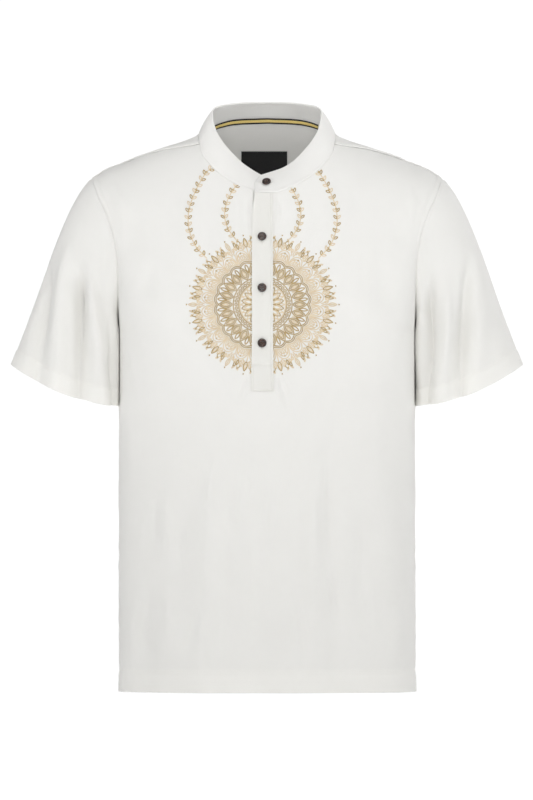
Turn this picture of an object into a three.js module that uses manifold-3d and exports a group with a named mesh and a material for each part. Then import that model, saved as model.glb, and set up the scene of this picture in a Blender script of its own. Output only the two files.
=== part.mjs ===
// Koko shirt: a short-sleeved pullover shirt with a stand collar and a buttoned half placket.
// Worn form and hollow. Millimetres, +Z up, front towards -Y, the wearer's left towards +X.
// The origin lies midway between the two side-neck points, where shoulders carry the shirt.
import * as THREE from 'three';
import { mergeVertices } from 'three/addons/utils/BufferGeometryUtils.js';
import Module from 'manifold-3d';

const wasm = await Module();
wasm.setup();

// Cloth and seams.
const clothWall = 1.2;
const collarWall = 2;
const tapeWall = 1;
const seamGap = 0.35;
const layerGap = 0.3;
const armholeGap = 0.75;
const tapeGap = 0.6;

// Torso, measured on the outside of the cloth.
const bodyHalfWidth = 189;
const hemZ = -710;
const chestZ = -250;
const armpitZ = -244.5;
const chestDepth = { front: 115, back: 112 };
const hemDepth = { front: 112, back: 110 };
const squareness = { hem: 2.3, armpit: 3.4 };

// Shoulder ridge and armhole.
const ridgeY = 8;
const tipY = 5;
const tipX = 223.5;
const tipZ = -53;
const shoulderReach = { front: 130, back: 150 };
const chestFall = { front: 260, back: 330 };
const armholeReach = 200;
const armholeReturn = 260;
const armholeDrop = 25;
const armholeFall = 60;
const napeLift = 43;
const neckHalfWidth = 86.5;

const shoulderLine = [
  { x: 0, z: 8 },
  { x: 60, z: 7 },
  { x: 86.5, z: 3 },
  { x: 93, z: 0 },
  { x: 110, z: -6.5 },
  { x: 130, z: -12.5 },
  { x: 147, z: -18.7 },
  { x: 165, z: -25.3 },
  { x: 186, z: -34 },
  { x: 204, z: -41 },
  { x: 223.5, z: -53 },
];
const armholeLine = [
  { z: -53, x: 223.5 },
  { z: -60, x: 221.5 },
  { z: -80, x: 214 },
  { z: -100, x: 205 },
  { z: -127, x: 196 },
  { z: -154, x: 191 },
  { z: -182, x: 189 },
  { z: -244.5, x: 189 },
];
const frontNeckline = [
  { x: 0, z: -71.3 },
  { x: 13.6, z: -70.3 },
  { x: 29, z: -64.5 },
  { x: 47.5, z: -55.3 },
  { x: 67, z: -40.7 },
  { x: 77.6, z: -28.8 },
  { x: 84.3, z: -18.4 },
  { x: 86.5, z: -10.7 },
];
const backNeckline = [
  { x: 0, z: 22 },
  { x: 40, z: 20.5 },
  { x: 60, z: 16.5 },
  { x: 75, z: 11 },
  { x: 83, z: 7.2 },
  { x: 86.5, z: 4.6 },
];

// Yoke seams: how far round from the ridge, as a share of the way to the armpit level.
const yokeFront = { atNeck: 0.165, atTip: 0.012, endX: 195 };
const yokeBackZ = -80;
const neckCornerBack = 0.08;

// Sleeve: hem ring and the way the cloth runs at both ends.
const sleeveHem = { x: 260, z: -318.5, halfWidth: 68, halfDepth: 48, tilt: 26.5, sag: 11 };
const sleeveRun = {
  topStart: { x: 110, z: -90 },
  topEnd: { x: 110, z: -250 },
  underStart: { x: 6, z: -80 },
  underEnd: { x: 4, z: -100 },
};

// Placket, label, tape and buttons.
const centreX = -5.8;
const placket = { width: 27, endZ: -326, topDrop: 0.9 };
const underPlacket = { width: 25, endZ: -321, topDrop: 3 };
const slit = { left: -16.8, right: 5.2, endZ: -317 };
const tape = { left: -68, right: 66, width: 8.3 };
const label = { left: -33, right: 26, top: -17, bottom: -55 };
const button = { radius: 5.75, thickness: 2.6, rim: 1.1, dish: 0.7, hole: 0.85, holeAt: 1.55 };
const placketButtons = [
  { x: -6.3, z: -128.4 },
  { x: -6.3, z: -194.2 },
  { x: -6.3, z: -264.2 },
];
const collarButton = { fromEnd: 14, down: 1.75 };

// Collar: its top edge on one side, from beside the centre front round to the centre back, and
// the two lapped ends. An x below 0 lies past the centre.
const collarTop = [
  { x: 19.9, y: -36, z: -40.7 },
  { x: 32.5, y: -34, z: -33 },
  { x: 42.7, y: -31, z: -23.3 },
  { x: 52, y: -26.5, z: -12.6 },
  { x: 59, y: -21, z: -3 },
  { x: 65.5, y: -12, z: 10 },
  { x: 69, y: -1, z: 27 },
  { x: 67, y: 9, z: 36.5 },
  { x: 55, y: 17, z: 41 },
  { x: 30, y: 21, z: 43.8 },
  { x: 0, y: 22, z: 44.5 },
];
const overEnd = [
  { x: -16, y: -38, z: -53 },
  { x: -6, y: -37.5, z: -49.5 },
  { x: 6, y: -37, z: -45.6 },
];
const underEnd = [
  { x: -8, y: -38.5, z: -55 },
  { x: 6, y: -37.5, z: -48.5 },
];
const collarLap = { step: 2.7, blend: 30 };
const collarGap = 0.6;
const collarProud = 1.2;

// Largest folds, in front view: a line from (x0, z0) to (x1, z1), negative depth for a hollow.
const sleeveFolds = {
  right: [
    { x0: -240, z0: -200, x1: -244, z1: -330, width: 12, depth: -7, face: 'front' },
    { x0: -272, z0: -150, x1: -281, z1: -300, width: 14, depth: -3.5, face: 'front' },
    { x0: -214, z0: -215, x1: -216, z1: -345, width: 13, depth: 4, face: 'front' },
    { x0: -225, z0: -190, x1: -232, z1: -330, width: 15, depth: -6, face: 'back' },
    { x0: -262, z0: -160, x1: -276, z1: -315, width: 16, depth: -4, face: 'back' },
  ],
  left: [
    { x0: 211, z0: -185, x1: 199, z1: -330, width: 10, depth: -6, face: 'front' },
    { x0: 243, z0: -225, x1: 249, z1: -330, width: 11, depth: -4.5, face: 'front' },
    { x0: 224, z0: -200, x1: 228, z1: -330, width: 12, depth: 4, face: 'front' },
    { x0: 219, z0: -195, x1: 226, z1: -335, width: 14, depth: -6, face: 'back' },
    { x0: 258, z0: -170, x1: 270, z1: -320, width: 16, depth: -4, face: 'back' },
  ],
};
const frontFolds = [
  { x0: -75, z0: -400, x1: -82, z1: -700, width: 26, depth: 2.5 },
  { x0: 75, z0: -380, x1: 92, z1: -640, width: 24, depth: -2.5 },
  { x0: -150, z0: -560, x1: -158, z1: -700, width: 22, depth: -3 },
  { x0: 150, z0: -420, x1: 160, z1: -690, width: 24, depth: 2.5 },
];
const backFolds = [
  { x0: -60, z0: -300, x1: -85, z1: -700, width: 32, depth: 5 },
  { x0: 20, z0: -360, x1: 25, z1: -700, width: 30, depth: -4.5 },
  { x0: 95, z0: -300, x1: 120, z1: -700, width: 32, depth: 4.5 },
  { x0: -140, z0: -280, x1: -130, z1: -560, width: 24, depth: -4 },
];

// Materials.
const cloth = { color: 0xefeee9, roughness: 0.85, metalness: 0 };
const collarCloth = { color: 0xebeae5, roughness: 0.82, metalness: 0 };
const tapeCloth = { color: 0xb09a5a, roughness: 0.6, metalness: 0 };
const labelCloth = { color: 0x16161a, roughness: 0.7, metalness: 0 };
const horn = { color: 0x2b1d17, roughness: 0.35, metalness: 0 };

const clamp = (value, low, high) => Math.min(high, Math.max(low, value));
const lerp = (a, b, t) => a + (b - a) * t;

function smooth(low, high, value) {
  const t = clamp((value - low) / (high - low), 0, 1);
  return t * t * (3 - 2 * t);
}

// The four weights of a cubic from a start and its run to an end and its run.
function hermite(t) {
  const rise = t * t * (3 - 2 * t);
  return [1 - rise, t * (1 - t) ** 2, rise, t * t * (t - 1)];
}

// A table's column as a smooth curve over another column that only rises or only falls.
function along(rows, from, to, at) {
  const way = Math.sign(rows.at(-1)[from] - rows[0][from]);
  let k = 0;
  while (k < rows.length - 2 && (at - rows[k + 1][from]) * way > 0) k += 1;
  const slope = (i) => {
    const a = rows[Math.max(i - 1, 0)];
    const b = rows[Math.min(i + 1, rows.length - 1)];
    return (b[to] - a[to]) / (b[from] - a[from]);
  };
  const span = rows[k + 1][from] - rows[k][from];
  const t = clamp((at - rows[k][from]) / span, 0, 1);
  const [h00, h10, h01, h11] = hermite(t);
  const runs = slope(k) * span * h10 + slope(k + 1) * span * h11;
  return rows[k][to] * h00 + rows[k + 1][to] * h01 + runs;
}

// Where a value that falls with v passes zero.
function solve(fall, low, high) {
  let [a, b] = [low, high];
  for (let n = 0; n < 40; n += 1) {
    const middle = (a + b) / 2;
    if (fall(middle) > 0) a = middle;
    else b = middle;
  }
  return (a + b) / 2;
}

// Torso surface. s runs from -1 to 1 across it, v from 0 at the shoulder ridge past 1 at the
// armpit level to 2 at the hem. side is 'front' or 'back'.
function torso(side, s, v) {
  const out = side === 'front' ? -1 : 1;
  const t = Math.min(v, 1);
  const down = Math.max(v - 1, 0);
  const [h00, h10, h01, h11] = hermite(t);
  const a = Math.abs(s);
  const edge = a ** 6;
  const edgeZ = tipZ * h00 - armholeDrop * h10 + armpitZ * h01 - armholeFall * h11;
  const edgeX = along(armholeLine, 'z', 'x', edgeZ);
  const middleX = bodyHalfWidth * Math.sin((s * Math.PI) / 2);
  const x = middleX * (edgeX / bodyHalfWidth) ** (a * a);
  const ridgeX = Math.abs(middleX) * (tipX / bodyHalfWidth) ** (a * a);
  const n = lerp(squareness.hem, squareness.armpit, smooth(0.4, 1, t) * (1 - smooth(0, 0.4, down)));
  const u = clamp(Math.abs(x) / edgeX, 0, 1);
  const roundness = (1 - u ** n) ** (1 / n);
  const depth = lerp(chestDepth[side], hemDepth[side], down);
  const middleDepth = out * ridgeY * h00 + shoulderReach[side] * h10 + depth * h01;
  const edgeDepth = out * tipY * h00 + armholeReach * h10 - armholeReturn * h11 + (seamGap / 2) * h01;
  const y = out * (edgeDepth + (middleDepth - edgeDepth) * roundness);
  const lift = side === 'back' ? napeLift * (1 - smooth(30, 105, ridgeX)) * smooth(0, 0.12, t) : 0;
  const ridgeZ = along(shoulderLine, 'x', 'z', ridgeX) + lift;
  const levelZ = lerp(chestZ, armpitZ, edge);
  const fall = lerp(chestFall[side], armholeFall, edge);
  const z = ridgeZ * h00 - armholeDrop * edge * h10 + levelZ * h01 - fall * h11;
  return new THREE.Vector3(x, y, lerp(z, hemZ, down));
}

const acrossAt = (x) => (Math.asin(x / bodyHalfWidth) * 2) / Math.PI;
const neckS = solve((s) => 0.9995 * neckHalfWidth - torso('front', s, 0.1).x, 0.1, 0.6);

// v of the point of a column that lies at height z.
const levelV = (side, s, z) => solve((v) => torso(side, s, v).z - z, 0.02, 2);

function frontNeckV(s) {
  return solve((v) => {
    const p = torso('front', s, v);
    return p.z - along(frontNeckline, 'x', 'z', Math.min(Math.abs(p.x), neckHalfWidth));
  }, 0.05, 1);
}

function backNeckV(s) {
  return solve((v) => {
    const p = torso('back', s, v);
    return p.z - along(backNeckline, 'x', 'z', Math.min(Math.abs(p.x), neckHalfWidth));
  }, neckCornerBack, 1);
}

function yokeFrontV(s) {
  const x = Math.abs(torso('front', s, 0).x);
  const share = clamp((yokeFront.endX - x) / (yokeFront.endX - neckHalfWidth), 0, 1);
  return lerp(yokeFront.atTip, yokeFront.atNeck, share ** 1.3);
}

const yokeBackV = (s) => levelV('back', s, yokeBackZ);

// v moved on by a length along the column.
function further(side, s, v, length) {
  const step = 0.001;
  return v + (length * step) / torso(side, s, v + step).distanceTo(torso(side, s, v));
}

function torsoNormal(side, s, v) {
  const step = 0.002;
  const across = new THREE.Vector3().subVectors(
    torso(side, Math.min(s + step, 1), v),
    torso(side, Math.max(s - step, -1), v),
  );
  const down = new THREE.Vector3().subVectors(torso(side, s, v + step), torso(side, s, v));
  return across.cross(down).multiplyScalar(side === 'front' ? -1 : 1).normalize();
}

// How far the folds of a list move a point outwards.
function foldDepth(folds, p) {
  let depth = 0;
  for (const fold of folds) {
    if (fold.face && (fold.face === 'front') !== p.y < 0) continue;
    const [dx, dz] = [fold.x1 - fold.x0, fold.z1 - fold.z0];
    const length = Math.hypot(dx, dz);
    const t = ((p.x - fold.x0) * dx + (p.z - fold.z0) * dz) / length ** 2;
    const off = ((p.x - fold.x0) * dz - (p.z - fold.z0) * dx) / length;
    depth += fold.depth * Math.exp(-((off / fold.width) ** 2)) * smooth(0, 0.35, t);
  }
  return depth;
}

// A panel is a grid of points on the outside of the cloth and their outward normals.
function torsoPanel(places, folds = []) {
  const normals = places.map((row) => row.map(([side, s, v]) => torsoNormal(side, s, v)));
  const points = places.map((row, j) => row.map(([side, s, v], i) => {
    const p = torso(side, s, v);
    return p.addScaledVector(normals[j][i], foldDepth(folds, p));
  }));
  return { points, normals };
}

// Normals of a grid of points, on the side that a columns-by-rows turn gives, times a sign.
function gridNormals(points, wrap, sign) {
  const [rows, columns] = [points.length, points[0].length];
  return points.map((row, j) => row.map((_, i) => {
    const before = wrap ? (i + columns - 1) % columns : Math.max(i - 1, 0);
    const after = wrap ? (i + 1) % columns : Math.min(i + 1, columns - 1);
    const across = new THREE.Vector3().subVectors(points[j][after], points[j][before]);
    const [below, above] = [points[Math.min(j + 1, rows - 1)][i], points[Math.max(j - 1, 0)][i]];
    const down = new THREE.Vector3().subVectors(below, above);
    return across.cross(down).multiplyScalar(sign).normalize();
  }));
}

// The point and normal at a place between a panel's grid points, counted in grid steps, on the
// same two triangles of the cell as its wall has.
function onPanel(panel, across, down) {
  const i = clamp(Math.floor(across), 0, panel.points[0].length - 2);
  const j = clamp(Math.floor(down), 0, panel.points.length - 2);
  const [f, g] = [across - i, down - j];
  const mix = (grid) => {
    const [first, last] = [grid[j][i], grid[j + 1][i + 1]];
    const [side, more, less] = g > f ? [grid[j + 1][i], f, g] : [grid[j][i + 1], g, f];
    const start = first.clone().multiplyScalar(1 - less);
    return start.addScaledVector(side, less - more).addScaledVector(last, more);
  };
  return { point: mix(panel.points), normal: mix(panel.normals) };
}

// The place on a panel of the point that the front view shows at x, z.
function placeAt(panel, x, z) {
  let [across, down] = [0, panel.points.length / 2];
  for (let n = 0; n < 12; n += 1) {
    across = solve((i) => x - onPanel(panel, i, down).point.x, 0, panel.points[0].length - 1);
    down = solve((j) => onPanel(panel, across, j).point.z - z, 0, panel.points.length - 1);
  }
  return { across, down };
}

// A closed wall of cloth on a panel. out moves it off the panel, and leftOut(i, j) drops a cell.
function wall(name, panel, options = {}) {
  const { thickness = clothWall, out = 0, wrap = false, look = cloth } = options;
  const leftOut = options.leftOut ?? (() => false);
  const [rows, columns] = [panel.points.length, panel.points[0].length];
  const cells = wrap ? columns : columns - 1;
  const corner = [panel.points[rows - 2][0], panel.points[rows - 2][1], panel.points[rows - 1][0]];
  const turn = corner[1].clone().sub(corner[0]).cross(corner[2].clone().sub(corner[0]));
  const outwards = turn.dot(panel.normals[rows - 2][0]) > 0;
  const points = [];
  for (const shift of [out, out - thickness]) {
    for (let j = 0; j < rows; j += 1) {
      for (let i = 0; i < columns; i += 1) {
        points.push(panel.points[j][i].clone().addScaledVector(panel.normals[j][i], shift));
      }
    }
  }
  const at = (layer, i, j) => layer * rows * columns + j * columns + (i % columns);
  const solid = (i, j) => {
    const column = wrap ? (i + cells) % cells : i;
    return j >= 0 && j < rows - 1 && column >= 0 && column < cells && !leftOut(column, j);
  };
  const faces = [];
  const quad = (a, b, c, d) => faces.push(...(outwards ? [a, c, b, a, d, c] : [a, b, c, a, c, d]));
  for (let j = 0; j < rows - 1; j += 1) {
    for (let i = 0; i < cells; i += 1) {
      if (!solid(i, j)) continue;
      quad(at(0, i, j), at(0, i, j + 1), at(0, i + 1, j + 1), at(0, i + 1, j));
      quad(at(1, i, j), at(1, i + 1, j), at(1, i + 1, j + 1), at(1, i, j + 1));
      const rims = [
        [i, j - 1, i + 1, j, i, j],
        [i, j + 1, i, j + 1, i + 1, j + 1],
        [i - 1, j, i, j, i, j + 1],
        [i + 1, j, i + 1, j + 1, i + 1, j],
      ];
      for (const [nextI, nextJ, i0, j0, i1, j1] of rims) {
        if (!solid(nextI, nextJ)) quad(at(0, i0, j0), at(1, i0, j0), at(1, i1, j1), at(0, i1, j1));
      }
    }
  }
  const used = [...new Set(faces)];
  const renumbered = new Map(used.map((old, index) => [old, index]));
  const geometry = new THREE.BufferGeometry().setFromPoints(used.map((old) => points[old]));
  geometry.setIndex(faces.map((old) => renumbered.get(old)));
  geometry.computeVertexNormals();
  const mesh = new THREE.Mesh(geometry, new THREE.MeshStandardMaterial(look));
  mesh.name = name;
  return mesh;
}

// Columns of a panel: those beside the neck and those under it.
const wingSteps = 8;
const wing = Array.from({ length: wingSteps }, (_, k) => lerp(1, neckS, k / wingSteps));
const frontMiddle = [84, 78, 68, 56, 43, 29].map(acrossAt);
const slitColumns = [slit.left, centreX, slit.right].map(acrossAt);
const backMiddle = [82, 72, 56, 38, 19].map(acrossAt);
const mirrored = (columns) => columns.map((s) => -s);

function frontColumns() {
  const left = [...mirrored(wing), -neckS, ...mirrored(frontMiddle)];
  const right = mirrored(left).reverse();
  return [...left, ...slitColumns, acrossAt(17), ...right];
}

function backColumns() {
  const left = [...mirrored(wing), -neckS, ...mirrored(backMiddle)];
  return [...left, 0, ...mirrored(left).reverse()];
}

const inNeck = (s) => Math.abs(s) < neckS - 1e-9;

const frontRows = { upper: 10, slit: 3, lower: 11 };

function frontPanel() {
  const columns = frontColumns();
  const slitV = levelV('front', acrossAt(centreX), slit.endZ);
  const tops = columns.map((s) => {
    const v = inNeck(s) ? frontNeckV(s) : yokeFrontV(s);
    return further('front', s, v, seamGap);
  });
  const places = [];
  for (let j = 0; j < frontRows.upper; j += 1) {
    places.push(columns.map((s, i) => ['front', s, lerp(tops[i], 1, j / frontRows.upper)]));
  }
  for (let j = 0; j < frontRows.slit; j += 1) {
    places.push(columns.map((s) => ['front', s, lerp(1, slitV, j / frontRows.slit)]));
  }
  for (let j = 0; j <= frontRows.lower; j += 1) {
    places.push(columns.map((s) => ['front', s, lerp(slitV, 2, j / frontRows.lower)]));
  }
  return torsoPanel(places, frontFolds);
}

function front(panel) {
  const firstSlit = frontColumns().indexOf(slitColumns[0]);
  const slitRows = frontRows.upper + frontRows.slit;
  const leftOut = (i, j) => j < slitRows && i >= firstSlit && i < firstSlit + 2;
  return wall('front', panel, { leftOut });
}

const yokeRows = { over: 4, back: 4 };
const backRows = { upper: 7, lower: 14 };

function yokePanel() {
  const columns = backColumns();
  const places = [];
  for (let j = 0; j <= yokeRows.over; j += 1) {
    places.push(columns.map((s) => {
      if (inNeck(s)) return ['back', s, backNeckV(s)];
      const way = lerp(-yokeFrontV(s), neckCornerBack, j / yokeRows.over);
      return way < 0 ? ['front', s, -way] : ['back', s, way];
    }));
  }
  for (let j = 1; j <= yokeRows.back; j += 1) {
    places.push(columns.map((s) => {
      const top = inNeck(s) ? backNeckV(s) : neckCornerBack;
      return ['back', s, lerp(top, yokeBackV(s), j / yokeRows.back)];
    }));
  }
  return torsoPanel(places);
}

function yoke(panel) {
  const columns = backColumns();
  const leftOut = (i, j) => j < yokeRows.over && (inNeck(columns[i]) || inNeck(columns[i + 1]));
  return wall('yoke', panel, { leftOut });
}

function back() {
  const columns = backColumns();
  const places = [];
  for (let j = 0; j <= backRows.upper; j += 1) {
    places.push(columns.map((s) => {
      const top = further('back', s, yokeBackV(s), seamGap);
      return ['back', s, lerp(top, 1, j / backRows.upper)];
    }));
  }
  for (let j = 1; j <= backRows.lower; j += 1) {
    places.push(columns.map((s) => ['back', s, 1 + j / backRows.lower]));
  }
  return wall('back', torsoPanel(places, backFolds));
}

// Sleeve surface. hand is 1 for the wearer's left. round is 0 at the top, 0.25 at the front and
// 0.5 at the underarm, and out runs from 0 at the armhole to 1 at the hem.
function sleevePoint(hand, round, out) {
  const t = round < 0.5 ? round * 2 : 2 - round * 2;
  const start = torso(round < 0.5 ? 'front' : 'back', 1, t);
  start.x += armholeGap;
  const angle = round * 2 * Math.PI;
  const [cos, sin] = [Math.cos(angle), Math.sin(angle)];
  const end = new THREE.Vector3(
    sleeveHem.x + sleeveHem.halfWidth * cos,
    -sleeveHem.halfDepth * sin,
    sleeveHem.z + sleeveHem.tilt * cos - sleeveHem.sag * sin * sin,
  );
  const [h00, h10, h01, h11] = hermite(out);
  const top = (1 + cos) / 2;
  const { underStart, topStart, underEnd, topEnd } = sleeveRun;
  const reach = (axis) => start[axis] * h00 + lerp(underStart[axis], topStart[axis], top) * h10
    + end[axis] * h01 + lerp(underEnd[axis], topEnd[axis], top) * h11;
  return new THREE.Vector3(hand * reach('x'), lerp(start.y, end.y, out), reach('z'));
}

// Places round the armhole, the same as the ends of the rows of the panels that it joins.
function armholeRounds() {
  const frontTop = further('front', 1, yokeFrontV(1), seamGap);
  const backTop = further('back', 1, yokeBackV(1), seamGap);
  const rounds = [];
  for (let j = 0; j <= frontRows.upper; j += 1) {
    rounds.push(lerp(frontTop, 1, j / frontRows.upper) / 2);
  }
  for (let j = backRows.upper - 1; j >= 0; j -= 1) {
    rounds.push(1 - lerp(backTop, 1, j / backRows.upper) / 2);
  }
  for (let j = yokeRows.back - 1; j >= 0; j -= 1) {
    rounds.push(1 - lerp(neckCornerBack, yokeBackV(1), j / yokeRows.back) / 2);
  }
  rounds.push(1 - neckCornerBack / 4);
  return rounds;
}

function sleeve(name, hand) {
  const outSteps = 12;
  const rounds = armholeRounds();
  const plain = Array.from({ length: outSteps + 1 }, (_, j) => (
    rounds.map((round) => sleevePoint(hand, round, j / outSteps))
  ));
  const folds = hand < 0 ? sleeveFolds.right : sleeveFolds.left;
  const bare = gridNormals(plain, true, hand);
  const points = plain.map((row, j) => row.map((p, i) => (
    p.clone().addScaledVector(bare[j][i], foldDepth(folds, p))
  )));
  const normals = gridNormals(points, true, hand);
  rounds.forEach((round, i) => {
    const t = round < 0.5 ? round * 2 : 2 - round * 2;
    const seam = torsoNormal(round < 0.5 ? 'front' : 'back', hand, t);
    normals[0][i].lerp(seam, 1 - smooth(0.3, 0.6, t)).normalize();
  });
  return wall(name, { points, normals }, { wrap: true });
}

// The neck seam on one side, from x near the centre front round to the centre back.
function neckSeam(fromX) {
  const steps = 28;
  const sideSteps = 8;
  const seam = [];
  for (let k = 0; k < steps; k += 1) {
    const s = lerp(acrossAt(fromX), neckS, k / steps);
    seam.push(torso('front', s, frontNeckV(s)));
  }
  for (let k = 0; k <= sideSteps; k += 1) {
    const way = lerp(-yokeFrontV(neckS), neckCornerBack, k / sideSteps);
    seam.push(way < 0 ? torso('front', neckS, -way) : torso('back', neckS, way));
  }
  for (let k = 1; k <= steps; k += 1) {
    const s = lerp(neckS, 0, k / steps);
    seam.push(torso('back', s, backNeckV(s)));
  }
  return seam;
}

// One side of the collar band as rows of points, from its end at the front to the centre back.
function collarSide(hand, end, rows, columns) {
  const topPoints = [...end, ...collarTop].map(({ x, y, z }) => new THREE.Vector3(x, y, z));
  const seam = new THREE.CatmullRomCurve3(neckSeam(end[0].x));
  const top = new THREE.CatmullRomCurve3(topPoints);
  const low = seam.getSpacedPoints(columns);
  const high = top.getSpacedPoints(columns);
  return Array.from({ length: rows + 1 }, (_, j) => low.map((p, i) => {
    const from = collarGap / p.distanceTo(high[i]);
    const point = p.clone().lerp(high[i], lerp(1, from, j / rows));
    return point.setX(hand * point.x);
  }));
}

// The band runs from its under end, round by the wearer's right and the back, to its over end.
function collarPanel() {
  const [rows, sideColumns] = [3, 24];
  const under = collarSide(-1, underEnd, rows, sideColumns);
  const over = collarSide(1, overEnd, rows, sideColumns);
  const plain = under.map((row, j) => [...row, ...over[j].slice(0, -1).reverse()]);
  const normals = gridNormals(plain, false, 1);
  const lapLength = -underEnd[0].x - overEnd[0].x;
  const points = plain.map((row, j) => row.map((p, i) => {
    const past = p.distanceTo(row[0]);
    const lapped = 1 - smooth(lapLength, lapLength + collarLap.blend, past);
    const inward = i > sideColumns ? 0 : collarLap.step * lapped;
    return p.clone().addScaledVector(normals[j][i], -inward);
  }));
  return { points, normals };
}

// A strip that lies on a panel, with a row of its own on each of the panel's grid lines that it
// crosses. Each column runs down from place `top` to place `bottom`.
function strip(name, panel, columns, options) {
  const places = columns.map(({ across, top, bottom }) => {
    const inner = [];
    for (let j = Math.ceil(top + 0.05); j < bottom - 0.05; j += 1) inner.push(j);
    return [top, ...inner, bottom].map((down) => onPanel(panel, across, down));
  });
  const rows = places[0].map((_, j) => places.map((column) => column[j]));
  const points = rows.map((row) => row.map((place) => place.point));
  const normals = rows.map((row) => row.map((place) => place.normal));
  return wall(name, { points, normals }, options);
}

// The panel's grid columns between two places, with both ends.
function columnsBetween(from, to) {
  const inner = [];
  for (let i = Math.ceil(from + 0.05); i < to - 0.05; i += 1) inner.push(i);
  return [from, ...inner, to];
}

function placketStrip(name, panel, size, out) {
  const low = placeAt(panel, centreX - size.width / 2, (size.endZ + chestZ) / 2);
  const high = placeAt(panel, centreX + size.width / 2, (size.endZ + chestZ) / 2);
  const { down } = placeAt(panel, centreX, size.endZ);
  const columns = columnsBetween(low.across, high.across).map((across) => {
    const rowLength = onPanel(panel, across, 0).point.distanceTo(onPanel(panel, across, 1).point);
    return { across, top: size.topDrop / rowLength, bottom: down };
  });
  return strip(name, panel, columns, { out });
}

function neckTape(panel) {
  const top = yokeRows.over;
  const [from, to] = [tape.left, tape.right].map((x) => (
    solve((i) => x - onPanel(panel, i, top).point.x, 0, panel.points[0].length - 1)
  ));
  const columns = columnsBetween(from, to).map((across) => {
    const rowStart = onPanel(panel, across, top).point;
    const rowLength = rowStart.distanceTo(onPanel(panel, across, top + 1).point);
    return { across, top: top + 0.3 / rowLength, bottom: top + tape.width / rowLength };
  });
  return strip('neck_tape', panel, columns, {
    thickness: tapeWall, out: -clothWall - tapeGap, look: tapeCloth,
  });
}

function sewnLabel(panel) {
  const top = placeAt(panel, label.left, label.top);
  const bottom = placeAt(panel, label.right, label.bottom);
  const columns = columnsBetween(top.across, bottom.across)
    .map((across) => ({ across, top: top.down, bottom: bottom.down }));
  return strip('label', panel, columns, {
    thickness: tapeWall, out: -clothWall - layerGap, look: labelCloth,
  });
}

function manifoldOf(geometry) {
  const bare = geometry.clone();
  for (const name of Object.keys(bare.attributes)) if (name !== 'position') bare.deleteAttribute(name);
  const merged = mergeVertices(bare, 1e-4);
  const index = merged.index.array;
  const faces = [];
  for (let k = 0; k < index.length; k += 3) {
    const [a, b, c] = [index[k], index[k + 1], index[k + 2]];
    if (a !== b && b !== c && c !== a) faces.push(a, b, c);
  }
  const vertProperties = new Float32Array(merged.attributes.position.array);
  return new wasm.Manifold(new wasm.Mesh({ numProp: 3, vertProperties, triVerts: new Uint32Array(faces) }));
}

// A four-hole button with a raised rim round a dish, its back at 0 and its front towards +Y.
function buttonGeometry() {
  const { radius, thickness, rim, dish } = button;
  const profile = [
    [0, 0],
    [radius * 0.72, 0],
    [radius, thickness * 0.45],
    [radius - rim * 0.35, thickness * 0.92],
    [radius - rim, thickness],
    [radius - rim * 1.9, thickness - dish],
    [0, thickness - dish],
  ].map(([x, y]) => new THREE.Vector2(x, y));
  let solid = manifoldOf(new THREE.LatheGeometry(profile, 20));
  for (const [sideX, sideZ] of [[1, 1], [1, -1], [-1, 1], [-1, -1]]) {
    const drill = new THREE.CylinderGeometry(button.hole, button.hole, thickness * 3, 8);
    drill.translate((sideX * button.holeAt) / Math.SQRT2, 0, (sideZ * button.holeAt) / Math.SQRT2);
    solid = solid.subtract(manifoldOf(drill));
  }
  const { vertProperties, triVerts } = solid.getMesh();
  const geometry = new THREE.BufferGeometry();
  geometry.setAttribute('position', new THREE.BufferAttribute(new Float32Array(vertProperties), 3));
  geometry.setIndex(new THREE.BufferAttribute(new Uint32Array(triVerts), 1));
  geometry.computeVertexNormals();
  return geometry;
}

function placeButton(name, { point, normal }, lift) {
  const mesh = new THREE.Mesh(buttonGeometry(), new THREE.MeshStandardMaterial(horn));
  mesh.name = name;
  mesh.position.copy(point).addScaledVector(normal, lift);
  mesh.quaternion.setFromUnitVectors(new THREE.Vector3(0, 1, 0), normal.clone().normalize());
  return mesh;
}

function buttons(chest, band) {
  const rowLength = band.points[0].at(-1).distanceTo(band.points[0].at(-2));
  const across = band.points[0].length - 1 - collarButton.fromEnd / rowLength;
  const onCollar = onPanel(band, across, collarButton.down);
  const first = placeButton('button_1', onCollar, collarProud + layerGap);
  const others = placketButtons.map(({ x, z }, k) => {
    const place = placeAt(chest, x, z);
    const onPlacket = onPanel(chest, place.across, place.down);
    return placeButton(`button_${k + 2}`, onPlacket, layerGap + clothWall + layerGap);
  });
  return [first, ...others];
}

const chest = frontPanel();
const shoulders = yokePanel();
const band = collarPanel();
const shirt = new THREE.Group();
shirt.add(
  front(chest),
  back(),
  yoke(shoulders),
  sleeve('sleeve_left', 1),
  sleeve('sleeve_right', -1),
  wall('collar', band, { thickness: collarWall, out: collarProud, look: collarCloth }),
  placketStrip('placket_over', chest, placket, layerGap + clothWall),
  placketStrip('placket_under', chest, underPlacket, -clothWall - layerGap),
  neckTape(shoulders),
  sewnLabel(shoulders),
  ...buttons(chest, band),
);

export default shirt;
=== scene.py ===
import math

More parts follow.
